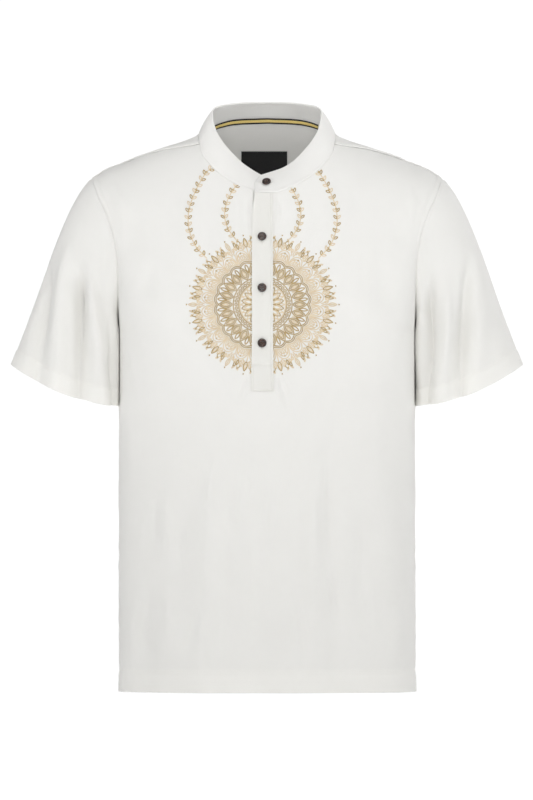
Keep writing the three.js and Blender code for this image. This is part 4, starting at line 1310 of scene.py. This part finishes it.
def joinMeshes(name, parts, material):
    vertices, faces, first = [], [], 0
    for points, quads in parts:
        vertices.append(points)
        faces += [tuple(first + k for k in quad) for quad in quads]
        first += len(points)
    piece = looseMesh(name, (np.concatenate(vertices) * mm).tolist(), faces)
    piece.data.polygons.foreach_set("use_smooth", np.ones(len(piece.data.polygons), bool))
    piece.data.materials.append(material)
    return piece


def nearestOn(panel, place):
    gaps = np.linalg.norm(panel.points - place, axis=-1)
    j, i = np.unravel_index(gaps.argmin(), gaps.shape)
    return panel.points[j, i], panel.normals[j, i]


def buttonPlaces():
    low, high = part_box("button_1")
    point, normal = nearestOn(collarPanel, (np.array(low) + np.array(high)) / 2 / mm)
    places = [(point + normal * button["offCollar"], normal)]
    for x, z in placketButtons:
        point, normal = onFront([x], [z])
        places.append((point[0] + normal[0] * (placket["lift"] + button["offPlacket"]), normal[0]))
    return places


def makeButtons():
    blank = buttonMesh()
    horn = hornMaterial()
    reach, apart = button["holeAt"] / math.sqrt(2), button["threadApart"] / 2
    pieces, threads = [], []
    for number, (point, normal) in enumerate(buttonPlaces(), 1):
        mesh = blank.copy()
        axes = turnTo(normal)
        places = np.zeros(len(mesh.vertices) * 3)
        mesh.vertices.foreach_get("co", places)
        placed = places.reshape(-1, 3) @ axes + point
        mesh.vertices.foreach_set("co", (placed * mm).ravel())
        mesh.update()
        mesh.name = f"hornButton{number}"
        mesh.materials.clear()
        mesh.materials.append(horn)
        mesh.polygons.foreach_set("use_smooth", np.ones(len(mesh.polygons), bool))
        mesh.set_sharp_from_angle(angle=math.radians(50))
        pieces.append(linkObject(mesh.name, mesh))
        for across in (-reach - apart, -reach + apart, reach - apart, reach + apart):
            way = [(across, y, t * reach) for t, y in threadWay]
            threads.append(tube(np.array(way) @ axes + point, button["thread"]))
    return pieces, joinMeshes("buttonThread", threads, brownThread)


hornButtons, buttonThread = makeButtons()
print("buttons made")


# sewing: Geometry Nodes lay a stitch at every step of a line
sewing = {"pitch": 2.7, "length": 2.15, "radius": 0.24, "sink": 0.05, "wobble": 0.1, "seed": 7}
satin = {"pitch": 0.42, "length": 1.5, "radius": 0.2, "sink": -0.05, "wobble": 0.1, "seed": 7}
lineAt = {"armhole": 5.6, "yoke": (1.5, 5.4), "collarEnd": 2.4, "label": 1.4}  # distances from the edges
buttonhole = {"length": 16.0, "width": 1.7, "collarSide": 1.8, "placketDrop": 1.2, "sink": 0.28}


def openTree(name, sizes, spacing):
    # a tree that walks along the lines it is given, in steps of one of its sizes
    tree = bpy.data.node_groups.new(name, "GeometryNodeTree")
    tree.interface.new_socket(name="Geometry", in_out="INPUT", socket_type="NodeSocketGeometry")
    for title in sizes:
        tree.interface.new_socket(name=title, in_out="INPUT", socket_type="NodeSocketFloat")
    tree.interface.new_socket(name="Geometry", in_out="OUTPUT", socket_type="NodeSocketGeometry")
    nodes = Nodes(tree)
    given = nodes.add("NodeGroupInput")
    line = nodes.add("GeometryNodeMeshToCurve", {}, {"Mesh": given["Geometry"]})["Curve"]
    even = nodes.add("GeometryNodeResampleCurve", {"mode": "LENGTH"},
                     {"Curve": line, "Length": given[spacing]})["Curve"]
    normal = nodes.add("GeometryNodeInputNamedAttribute", {"data_type": "FLOAT_VECTOR"},
                       {"Name": "surfaceNormal"})["Attribute"]
    return tree, nodes, given, even, normal


def closeTree(nodes, geometry, material):
    real = nodes.add("GeometryNodeRealizeInstances", {}, {"Geometry": geometry})["Geometry"]
    done = nodes.add("GeometryNodeSetMaterial", {}, {"Geometry": real, "Material": material})["Geometry"]
    nodes.add("NodeGroupOutput", {}, {"Geometry": done})


def stitchTree(name, material, look):
    tree, nodes, given, even, normal = openTree(name, ("Pitch", "Length", "Radius", "Turn"), "Pitch")
    tangent = nodes.add("GeometryNodeInputTangent")["Tangent"]
    facing = nodes.add("FunctionNodeAlignRotationToVector", {"axis": "Z"}, {"Vector": normal})["Rotation"]
    laid = nodes.add("FunctionNodeAlignRotationToVector", {"axis": "X", "pivot_axis": "Z"},
                     {"Rotation": facing, "Vector": tangent})["Rotation"]
    wobble = nodes.add("FunctionNodeRandomValue", {"data_type": "FLOAT"},
                       {2: -look["wobble"], 3: look["wobble"], "Seed": look["seed"]})
    angle = Wire(nodes, wobble.node.outputs[1]) + given["Turn"]
    turn = nodes.add("FunctionNodeAxisAngleToRotation", {}, {"Axis": (0, 0, 1), "Angle": angle})["Rotation"]
    turned = nodes.add("FunctionNodeRotateRotation", {"rotation_space": "LOCAL"},
                       {"Rotation": laid, "Rotate By": turn})["Rotation"]
    ball = nodes.add("GeometryNodeMeshUVSphere", {}, {"Segments": 6, "Rings": 4, "Radius": 1.0})["Mesh"]
    size = nodes.add("ShaderNodeCombineXYZ", {}, {"X": given["Radius"], "Y": given["Radius"],
                                                  "Z": given["Length"] * 0.5})["Vector"]
    lying = nodes.add("GeometryNodeTransform", {}, {"Geometry": ball, "Scale": size})["Geometry"]
    lying = nodes.add("GeometryNodeTransform", {},
                      {"Geometry": lying, "Rotation": (0, math.pi / 2, 0)})["Geometry"]
    smoothed = nodes.add("GeometryNodeSetShadeSmooth", {}, {"Geometry": lying})["Geometry"]
    placed = nodes.add("GeometryNodeInstanceOnPoints", {},
                       {"Points": even, "Instance": smoothed, "Rotation": turned})["Instances"]
    closeTree(nodes, placed, material)
    return tree


def linesObject(name, lines):
    # joined polylines with the cloth's normals on their points
    vertices, edges, normals, first = [], [], [], 0
    for points, directions in lines:
        count = len(points)
        vertices.append(points * mm)
        normals.append(directions)
        edges += [(first + k, first + k + 1) for k in range(count - 1)]
        first += count
    mesh = bpy.data.meshes.new(name)
    mesh.from_pydata(np.concatenate(vertices).tolist(), edges, [])
    attribute = mesh.attributes.new("surfaceNormal", "FLOAT_VECTOR", "POINT")
    attribute.data.foreach_set("vector", np.concatenate(normals).ravel())
    return linkObject(name, mesh)


def applyTree(name, source, tree, values):
    # a plain object made by the tree from the source's lines
    modifier = source.modifiers.new("nodes", "NODES")
    modifier.node_group = tree
    for item in tree.interface.items_tree:
        if item.in_out == "INPUT" and item.name in values:
            modifier[item.identifier] = values[item.name]
    mesh = plainMesh(source)
    mesh.name = name
    bpy.data.objects.remove(source)
    return linkObject(name, mesh)


def sew(name, lines, material, look, turn=0.0):
    sunk = [(points - normals * look["sink"], normals) for points, normals in lines]
    sizes = {title: look[title.lower()] * mm for title in ("Pitch", "Length", "Radius")}
    tree = stitchTree(name + "Tree", material, look)
    return applyTree(name, linesObject(name + "Lines", sunk), tree, {**sizes, "Turn": turn})


def sideLines(panel, distance, rows):
    # a line inside each of a panel's side edges
    last = panel.points.shape[1] - 1
    return [panel.columnPath(0, distance, rows(0)), panel.columnPath(last, -distance, rows(last))]


def armholeLines():
    lines = []
    for panel, v in ((frontPanel, frontFacts["v"]), (backPanel, backFacts["v"])):
        sewn = lambda column: np.arange(4, int((v[:, column] < 0.93).sum()))
        lines += sideLines(panel, lineAt["armhole"], sewn)
    inside = np.arange(1, len(yokePanel.points) - 1)
    return lines + sideLines(yokePanel, lineAt["armhole"], lambda _: inside)


def yokeLines():
    shouldered = np.arange(len(backS))[~yokeInNeck]
    left, right = shouldered[shouldered < len(backS) // 2], shouldered[shouldered > len(backS) // 2]
    lines = []
    for distance in lineAt["yoke"]:
        lines += [yokePanel.rowPath(0, distance, side[1:-1]) for side in (left, right)]
    last, columns = len(yokePanel.points) - 1, np.arange(1, len(backS) - 1)
    return lines + [yokePanel.rowPath(last, -distance, columns) for distance in lineAt["yoke"]]


def hemLines():
    lines = []
    inside = seamLook["hemLine"]
    for panel in (frontPanel, backPanel):
        rows, columns = panel.points.shape[:2]
        lines.append(panel.rowPath(rows - 1, inside - seamLook["hem"], np.arange(columns)))
    for panel in (leftPanel, rightPanel):
        rows, columns = panel.points.shape[:2]
        points, normals = panel.rowPath(rows - 1, inside - seamLook["sleeveHem"], np.arange(columns - 1))
        lines.append((np.append(points, points[:1], 0), np.append(normals, normals[:1], 0)))
    return lines


def onPlacket(x, z, sink=0.16):
    # stitches lie a little deep in the placket
    points, normals = onFront(x, z)
    return points + normals * (placket["lift"] - sink), normals


def placketLines():
    z = np.linspace(placket["topZ"] - 4, placket["boxTop"], 120)
    lines = [onPlacket(placketEdge(1, z) - placket["stitchIn"], z)]
    low, high, inset = placket["endZ"] + placket["boxEnd"], placket["boxTop"], placket["boxIn"]
    corners = [(placketEdge(side, np.array(z)) - side * inset, z)
               for side, z in ((-1, high), (1, high), (1, low), (-1, low), (-1, high))]
    for (x0, z0), (x1, z1) in zip(corners, corners[1:]):
        f = np.linspace(0, 1, 24)
        lines.append(onPlacket(mix(x0, x1, f), mix(z0, z1, f)))
    return lines


def collarLines():
    columns = np.arange(3, collarPanel.points.shape[1] - 3)
    rows = np.arange(2, collarFootRow - 1)
    return [collarPanel.rowPath(0, collarLook["topLine"], columns),
            collarPanel.rowPath(collarFootRow, -collarLook["footLine"], columns),
            *sideLines(collarPanel, lineAt["collarEnd"], lambda _: rows)]


def labelLines():
    rows, columns = labelPanel.points.shape[:2]
    back, sewn = label["thickness"] + 0.02, np.arange(3, rows - 6)
    lines = [labelPanel.rowPath(0, lineAt["label"], np.arange(3, columns - 3)),
             *sideLines(labelPanel, lineAt["label"], lambda _: sewn)]
    return [(points - normals * back, -normals) for points, normals in lines]


def holeLoop(point, normal, run):
    # a long round-ended loop on the cloth
    across = np.cross(normal, run)
    length, width = buttonhole["length"], buttonhole["width"]
    half = (length - width) / 2
    turns = np.linspace(0, math.pi, 9)
    end = [(half + width / 2 * math.sin(a), width / 2 * math.cos(a)) for a in turns]
    start = [(-half - width / 2 * math.sin(a), -width / 2 * math.cos(a)) for a in turns]
    points = np.array([point + run * u + across * w for u, w in end + start + end[:1]])
    return points, np.repeat(normal[None, :], len(points), 0)


def buttonholeLines():
    (point, normal), *others = buttonPlaces()
    axes = turnTo(normal)
    lines = [holeLoop(point + axes[0] * buttonhole["collarSide"] - normal * 0.3, axes[1], axes[0])]
    for point, normal in others:
        axes = turnTo(normal)
        place = point - axes[2] * buttonhole["placketDrop"] - normal * buttonhole["sink"]
        lines.append(holeLoop(place, axes[1], axes[2]))
    return lines


bodyStitches = sew("bodyStitches", hemLines() + armholeLines() + yokeLines(), whiteThread, sewing)
trimStitches = sew("trimStitches", placketLines() + collarLines(), whiteThread, sewing)
labelStitches = sew("labelStitches", labelLines(), blackThread, sewing)
buttonholes = sew("buttonholes", buttonholeLines(), whiteThread, satin, math.pi / 2)
print("sewing made")


# embroidery: a round rosette of leaves, beads and fans, with leafy strands up to the collar
rosette = {
    "centre": (-5.5, -215.7),
    "heightShare": 0.95,
    "goldWidth": 1.45, "tanWidth": 1.35, "threadHeight": 0.62, "step": 1.25, "lift": 0.12,
    "rings": {"gold": (30.6, 37.4), "tan": (29.0,)},
    "ropes": {"gold": (58.6, 56.4), "tan": (60.9,)},
    "ropeWave": 3.4,
    "fans": 24, "fanFoot": 62.5,
    "fanArcs": ((15.5, 0.97), (11.8, 0.78), (8.0, 0.56)),  # height, and share of the fan's width
    "fanVeins": ((63.5, 0.4), (68.0, 0.55), (72.0, 0.75)),
}
# rows of (thread, shape, how many, turn in steps, turn to either side in radians, the shape's own sizes):
# a leaf's start, end, width, fullness and lean, a curl's start and reach, a line's start and end, and a
# bead's place, radius and points
rosetteRows = [
    # lotus petals round a small flower, and a ring of beads
    ("tan", "leaf", 8, 0, 0, 2.5, 11, 4.0, 0.8),
    ("gold", "leaf", 16, 0.5, 0, 11, 27.5, 8.4, 0.8),
    ("tan", "leaf", 16, 0.5, 0, 14, 24, 4.2, 0.8),
    ("tan", "leaf", 16, 0, 0, 17, 28.5, 3.4, 0.9),
    ("gold", "bead", 44, 0, 0, 33.8, 1.75, 9),
    # pointed leaves with veins, and a bead on each fan
    ("gold", "leaf", 24, 0, 0, 38.6, 56.5, 9.4, 0.85),
    ("gold", "leaf", 24, 0, 0, 41.0, 53.6, 5.6, 0.85),
    ("tan", "leaf", 24, 0, 0, 43.5, 51.0, 2.4, 0.85),
    ("gold", "leaf", 24, 0.5, 0, 46.0, 58.0, 3.6, 1.2),
    ("tan", "line", 24, 0.5, 0, 40.5, 45.5),
    ("gold", "bead", 24, 0.5, 0, 74.2, 0.9, 7),
    # sprigs on every other spoke
    ("gold", "leaf", 12, 0.5, 0, 79.5, 92.5, 5.0, 0.8),
    ("tan", "leaf", 12, 0.5, 0.055, 77.5, 88.0, 4.0, 0.8, 1.4),
    ("gold", "curl", 12, 0.5, 0.075, 86.0, 7.5),
    ("tan", "line", 12, 0.5, 0, 64.0, 79.5),
    ("tan", "leaf", 12, 0.5, 0, 82.0, 90.0, 2.4, 0.8),
    ("gold", "bead", 12, 0.5, 0, 96.0, 0.8, 7),
    # curls on the rest
    ("tan", "curl", 12, 0, 0.02, 74.0, 13.0),
    ("tan", "curl", 12, 0, 0.03, 66.0, 9.0),
    ("gold", "leaf", 12, 0, 0.09, 84.0, 91.0, 2.6, 0.9, 1.0),
    ("tan", "leaf", 12, 0, 0, 83.0, 95.0, 4.4, 0.9),
    ("tan", "line", 12, 0, 0, 76.0, 92.0),
    ("gold", "bead", 12, 0, 0, 97.0, 0.8, 7),
    # small leaves and curls between them
    ("tan", "leaf", 24, 0.5, 0.035, 79.5, 86.5, 2.8, 0.9, 0.8),
    ("tan", "leaf", 24, 0.5, 0.085, 78.5, 84.0, 2.4, 0.9, 0.8),
    ("tan", "curl", 24, 0.5, 0.012, 88.0, 7.0),
    ("gold", "leaf", 24, 0.5, 0, 79.5, 88.0, 2.2, 0.9),
]


def polar(radius, angle):
    # from the top, clockwise as seen from the front
    return np.stack([radius * np.sin(angle), radius * np.cos(angle)], axis=-1)


def spoke(angle, reach, side):
    # points given outwards along a spoke and sideways from it
    out, across = np.array([math.sin(angle), math.cos(angle)]), np.array([math.cos(angle), -math.sin(angle)])
    return np.outer(reach, out) + np.outer(side, across)


def leafOutline(angle, hand, start, end, width, full, lean=0.0):
    t = np.linspace(0, 1, 15)
    side = width / 2 * np.sin(math.pi * t ** full)
    bend = hand * lean * np.sin(math.pi * t)
    reach = mix(start, end, t)
    up, down = spoke(angle, reach, side + bend), spoke(angle, reach[::-1], (bend - side)[::-1])
    return np.concatenate([up, down[1:]])


def curl(angle, hand, start, reach):
    # a stem that rolls up at its tip
    t = np.linspace(0, 1, 18)
    turn = t * 4.3
    radius = reach * 0.34 * (1 - 0.62 * t)
    side = hand * (radius * (1 - np.cos(turn)) + 0.12 * reach * t)
    up = start + reach * 0.62 * np.minimum(t * 2.2, 1) + radius * np.sin(turn) * 0.9
    return spoke(angle, up, side)


def loop(centre, radius, count=9):
    a = np.linspace(0, 2 * math.pi, count)
    return np.stack([centre[0] + radius * np.cos(a), centre[1] + radius * np.sin(a)], axis=-1)


rosetteShapes = {
    "leaf": leafOutline,
    "curl": curl,
    "line": lambda angle, hand, start, end: spoke(angle, [start, end], [0, 0]),
    "bead": lambda angle, hand, place, radius, count: loop(polar(place, angle), radius, count),
}


def rosetteStrokes():
    strokes = {"gold": [], "tan": []}
    for thread, shape, count, shift, turn, *sizes in rosetteRows:
        for k in range(count):
            angle = 2 * math.pi * (k + shift) / count
            for hand in ((-1, 1) if turn else (1,)):
                strokes[thread].append(rosetteShapes[shape](angle + hand * turn, hand, *sizes))
    circle = np.linspace(0, 2 * math.pi, 181)
    wave = rosette["ropeWave"] * np.abs(np.sin(circle * rosette["fans"] / 2))
    for thread in strokes:
        strokes[thread] += [polar(radius, circle) for radius in rosette["rings"][thread]]
        strokes[thread] += [polar(radius + wave, circle) for radius in rosette["ropes"][thread]]
    # fans on the scalloped ropes
    half = math.pi / rosette["fans"]
    sweep = np.linspace(-1, 1, 17)
    for k in range(rosette["fans"]):
        middle = (2 * k + 1) * half
        for rise, share in rosette["fanArcs"]:
            height = rosette["fanFoot"] + rise * np.sqrt(np.maximum(1 - sweep ** 2, 0))
            strokes["tan"].append(polar(height, middle + sweep * half * share))
        for lean in (-0.5, 0, 0.5):
            strokes["tan"].append(np.stack([polar(radius, middle + lean * half * share)
                                            for radius, share in rosette["fanVeins"]]))
    squash = np.array([1, rosette["heightShare"]])
    return [[stroke * squash + rosette["centre"] for stroke in strokes[thread]] for thread in ("gold", "tan")]


# each strand runs from the rosette up to the collar, at distances from the centre line
strands = [
    [(34, -133), (44, -119), (48.5, -103), (46, -86), (39.5, -72), (33, -62.5)],
    [(71, -157), (86, -140), (94, -118), (93.5, -94), (85, -70), (72, -47), (65, -41)],
]
strandLook = {"pitch": 8.5, "leaf": (0.4, 6.6, 2.6, 0.9), "spread": 0.75, "bud": 1.0}


def strandStrokes():
    gold, tan = [], []
    for hand in (-1, 1):
        flip, shift = np.array([hand, 1]), np.array([rosette["centre"][0], 0])
        for points in strands:
            points = np.array(points, float)
            knots = runLengths(points)
            total = knots[-1]
            fine = np.linspace(0, total, 400)
            line = np.stack([along(list(zip(knots, points[:, k])), fine) for k in (0, 1)], axis=1)
            at = lambda distance: np.array([np.interp(distance, fine, line[:, k]) for k in (0, 1)])
            tan.append(line[::5] * flip + shift)
            count = int(total // strandLook["pitch"])
            for k in range(count):
                here = (k + 0.6) * total / count
                start, ahead = at(here), at(min(here + 1, total)) - at(here - 1)
                heading = math.atan2(ahead[0], ahead[1])
                for side in (-1, 1):
                    blade = leafOutline(heading + side * strandLook["spread"], 1, *strandLook["leaf"]) + start
                    (tan if (k + (side > 0)) % 2 else gold).append(blade * flip + shift)
                if k % 3 == 1:
                    bud = at(min(here + total / count / 2, total))
                    gold.append(loop(bud, strandLook["bud"], 7) * flip + shift)
    return gold, tan


def densify(stroke, step):
    lengths = runLengths(stroke)
    want = np.linspace(0, lengths[-1], max(int(math.ceil(lengths[-1] / step)) + 1, 3))
    return np.stack([np.interp(want, lengths, stroke[:, k]) for k in (0, 1)], axis=1)


def layOnFront(strokes):
    # the parts of the strokes that the placket and the collar leave showing
    dense = [densify(stroke, rosette["step"] * 0.6) for stroke in strokes]
    x, z = np.concatenate(dense).T
    points, normals = onFront(x, z)
    hidden = (x > placketEdge(-1, z) + 0.6) & (x < placketEdge(1, z) - 0.6)
    hidden |= z > placketTop(x, 2.2)
    lines, first = [], 0
    for stroke in dense:
        shown = ~hidden[first:first + len(stroke)]
        ends = np.flatnonzero(np.diff(np.concatenate([[0], shown.astype(int), [0]])))
        for start, end in zip(ends[::2], ends[1::2]):
            if end - start > 2:
                part = slice(first + start, first + end)
                lines.append((points[part] + normals[part] * rosette["lift"], normals[part]))
        first += len(stroke)
    return lines


def threadTree(name, material):
    tree, nodes, given, even, normal = openTree(name, ("Step", "Width", "Height"), "Step")
    facing = nodes.add("GeometryNodeSetCurveNormal", {"mode": "FREE"},
                       {"Curve": even, "Normal": normal})["Curve"]
    length = nodes.add("GeometryNodeSplineParameter")["Length"]
    marked = nodes.add("GeometryNodeStoreNamedAttribute", {"data_type": "FLOAT", "domain": "POINT"},
                       {"Geometry": facing, "Name": "alongThread", "Value": length})["Geometry"]
    circle = nodes.add("GeometryNodeCurvePrimitiveCircle", {}, {"Resolution": 6, "Radius": 0.5})["Curve"]
    size = nodes.add("ShaderNodeCombineXYZ", {},
                     {"X": given["Height"], "Y": given["Width"], "Z": 1.0})["Vector"]
    profile = nodes.add("GeometryNodeTransform", {}, {"Geometry": circle, "Scale": size})["Geometry"]
    solid = nodes.add("GeometryNodeCurveToMesh", {}, {"Curve": marked, "Profile Curve": profile,
                                                      "Fill Caps": True})["Mesh"]
    closeTree(nodes, nodes.add("GeometryNodeSetShadeSmooth", {}, {"Geometry": solid})["Geometry"], material)
    return tree


embroideryLook = {"twist": 0.0005, "twistTone": 0.15, "twistDepth": 0.00005, "cloud": 120.0}


def embroideryMaterial(name, dark, light):
    material, nodes, shader = newMaterial(name, {
        "Roughness": 0.42, "Sheen Weight": 0.1, "Specular IOR Level": 0.45})
    place = nodes.add("ShaderNodeTexCoord")["Object"]
    length = nodes.add("ShaderNodeAttribute", {"attribute_name": "alongThread"})["Fac"]
    strand = (length * (2 * math.pi / embroideryLook["twist"])).sine()
    cloud = noise(nodes, place, embroideryLook["cloud"], 3.0)
    share = cloud * 1.4 - 0.2 + strand * embroideryLook["twistTone"]
    connect(shader, "Base Color", tint(nodes, share, dark, light))
    raiseBy(shader, strand * embroideryLook["twistDepth"], 0.7)
    return material


def embroider(name, strokes, width, material):
    lines = linesObject(name + "Lines", layOnFront(strokes))
    return applyTree(name, lines, threadTree(name + "Tree", material), {
        "Step": rosette["step"] * mm, "Width": width * mm, "Height": rosette["threadHeight"] * mm})


goldThread = embroideryMaterial("goldThread", linear(166, 140, 90), linear(204, 180, 132))
tanThread = embroideryMaterial("tanThread", linear(216, 196, 162), linear(236, 220, 192))
goldStrokes, tanStrokes = rosetteStrokes()
goldLeaves, tanLeaves = strandStrokes()
goldEmbroidery = embroider("goldEmbroidery", goldStrokes + goldLeaves, rosette["goldWidth"], goldThread)
tanEmbroidery = embroider("tanEmbroidery", tanStrokes + tanLeaves, rosette["tanWidth"], tanThread)
faceCounts = [len(piece.data.polygons) for piece in (goldEmbroidery, tanEmbroidery)]
print("embroidery made:", faceCounts, "faces")


# camera, light and floor, in metres and watts
view = {"distance": 16.0, "x": -0.0006, "z": -0.337, "height": 1.024, "sensor": 36.0, "far": 60.0}
studio = {
    "aim": (0, 0, -0.35),
    # name: place, size, power
    "lights": {
        "key": ((-0.3, -2.6, 2.8), 0.9, 20),
        "neck": ((0.03, -1.2, 0.45), 0.5, 4.1),
        "left": ((-2.6, -1.5, 0.2), 1.0, 11),
        "right": ((2.6, -1.5, 0.2), 1.0, 10),
        "top": ((0.4, -0.6, 2.3), 1.2, 12),
        "back": ((1.9, 2.9, 1.7), 1.0, 34),
    },
    # the sky is brightest low down all round, where it stands behind the shirt in every view
    "sky": {"from": 0.045, "to": 0.1, "low": 1.06, "high": 0.18},
    # and the round floor glows further out, so that it melts into the sky
    "floor": {"z": -1.0, "from": 0.7, "to": 2.6, "near": 0.22, "far": 0.86, "steps": 72,
              "rings": (0.02, 0.6, 1.2, 1.8, 2.4, 3.0, 4.0, 6.0, 10.0, 20.0, 60.0)},
}


def eased(nodes, value, start, end, atStart, atEnd):
    sockets = {0: value, 1: start, 2: end, 3: atStart, 4: atEnd}
    return nodes.add("ShaderNodeMapRange", {"interpolation_type": "SMOOTHSTEP"}, sockets)["Result"]


def setCamera():
    camera = bpy.data.cameras.new("camera")
    camera.sensor_width = view["sensor"]
    camera.lens = view["sensor"] * view["distance"] / view["height"]
    camera.clip_end = view["far"]
    eye = linkObject("camera", camera)
    eye.location = (view["x"], -view["distance"], view["z"])
    eye.rotation_euler = (math.pi / 2, 0, 0)
    bpy.context.scene.camera = eye


def setSky():
    world = bpy.data.worlds.new("studio")
    world.use_nodes = True
    nodes = Nodes(world.node_tree)
    place = nodes.add("ShaderNodeTexCoord")["Generated"]
    height = nodes.add("ShaderNodeSeparateXYZ", {}, {0: place})["Z"].size()
    level = eased(nodes, height, *studio["sky"].values())
    background = world.node_tree.nodes["Background"]
    background.inputs["Color"].default_value = (1, 1, 1, 1)
    world.node_tree.links.new(level.socket, background.inputs["Strength"])
    bpy.context.scene.world = world


def setLights():
    for name, (place, size, power) in studio["lights"].items():
        lamp = bpy.data.lights.new(name, "AREA")
        lamp.shape, lamp.size, lamp.energy = "SQUARE", size, power
        held = linkObject(name, lamp)
        held.location = place
        aim = np.array(studio["aim"]) - np.array(place)
        yaw = math.atan2(aim[1], aim[0]) - math.pi / 2
        pitch = math.atan2(aim[2], math.hypot(aim[0], aim[1]))
        held.rotation_euler = (pitch + math.pi / 2, 0, yaw)


def setFloor():
    look = studio["floor"]
    steps = look["steps"]
    angles = np.arange(steps) * 2 * math.pi / steps
    vertices = [(r * math.cos(a), r * math.sin(a), look["z"]) for r in look["rings"] for a in angles]
    faces = [tuple(range(steps))]
    for ring in range(len(look["rings"]) - 1):
        a, b = ring * steps, (ring + 1) * steps
        faces += [(a + k, b + k, b + (k + 1) % steps, a + (k + 1) % steps) for k in range(steps)]
    material, nodes, shader = newMaterial("paleFloor", {
        "Base Color": (0.9, 0.9, 0.9, 1), "Roughness": 0.9, "Specular IOR Level": 0.1,
        "Emission Strength": 1.0,
    })
    place = nodes.add("ShaderNodeTexCoord")["Object"]
    away = nodes.add("ShaderNodeVectorMath", {"operation": "LENGTH"}, {0: place})["Value"]
    glow = eased(nodes, away, look["from"], look["to"], look["near"], look["far"])
    grey = nodes.add("ShaderNodeCombineColor", {}, {0: glow, 1: glow, 2: glow})["Color"]
    connect(shader, "Emission Color", grey)
    floor = makeObject("paleFloor", vertices, faces, material)


setCamera()
setSky()
setLights()
setFloor()
bpy.context.scene.view_settings.view_transform = "Standard"
print("stage set")


def flatSize(panel, wrap=False):
    # the cut's box, from the longest row and column
    points = np.concatenate([panel.points, panel.points[:, :1]], axis=1) if wrap else panel.points
    width = np.linalg.norm(np.diff(points, axis=1), axis=-1).sum(axis=1).max() * mm
    length = np.linalg.norm(np.diff(points, axis=0), axis=-1).sum(axis=0).max() * mm
    return width, length


def declare(piece, node, panel, keep=None, wrap=False, turnedIn=0.0):
    # which solid a cloth piece stands for, and the cut of what shows of it
    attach(piece, "root")
    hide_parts(node)
    areas = surfaceArea(panel.points, wrap) * mm * mm
    area = float(areas[keep].sum() if keep is not None else areas.sum())
    width, length = flatSize(panel, wrap)
    length += turnedIn
    area = min(area, width * length)
    print(f"{piece.name}: flat {width:.3f} x {length:.3f} m, area {area:.4f} m2")


declare(frontCloth, "front", frontPanel, frontFacts["keep"])
declare(backCloth, "back", backPanel)
declare(yokeCloth, "yoke", yokePanel)
declare(sleeveLeft, "sleeve_left", leftPanel, wrap=True)
declare(sleeveRight, "sleeve_right", rightPanel, wrap=True)
declare(collarCloth, "collar", collarPanel)
declare(placketOver, "placket_over", placketPanel)
declare(placketUnder, "placket_under", underPanel)
declare(neckTape, "neck_tape", tapePanel, turnedIn=0.0016)
declare(plainLabel, "label", labelPanel)
for number, piece in enumerate(hornButtons, 1):
    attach(piece, "root")
    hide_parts(f"button_{number}")
threadSlots = {
    goldEmbroidery: "tape_cloth", tanEmbroidery: "tape_cloth", buttonThread: "cloth",
    bodyStitches: "cloth", trimStitches: "cloth", labelStitches: "label_cloth", buttonholes: "cloth",
}
for piece, slotName in threadSlots.items():
    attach(piece, "root")
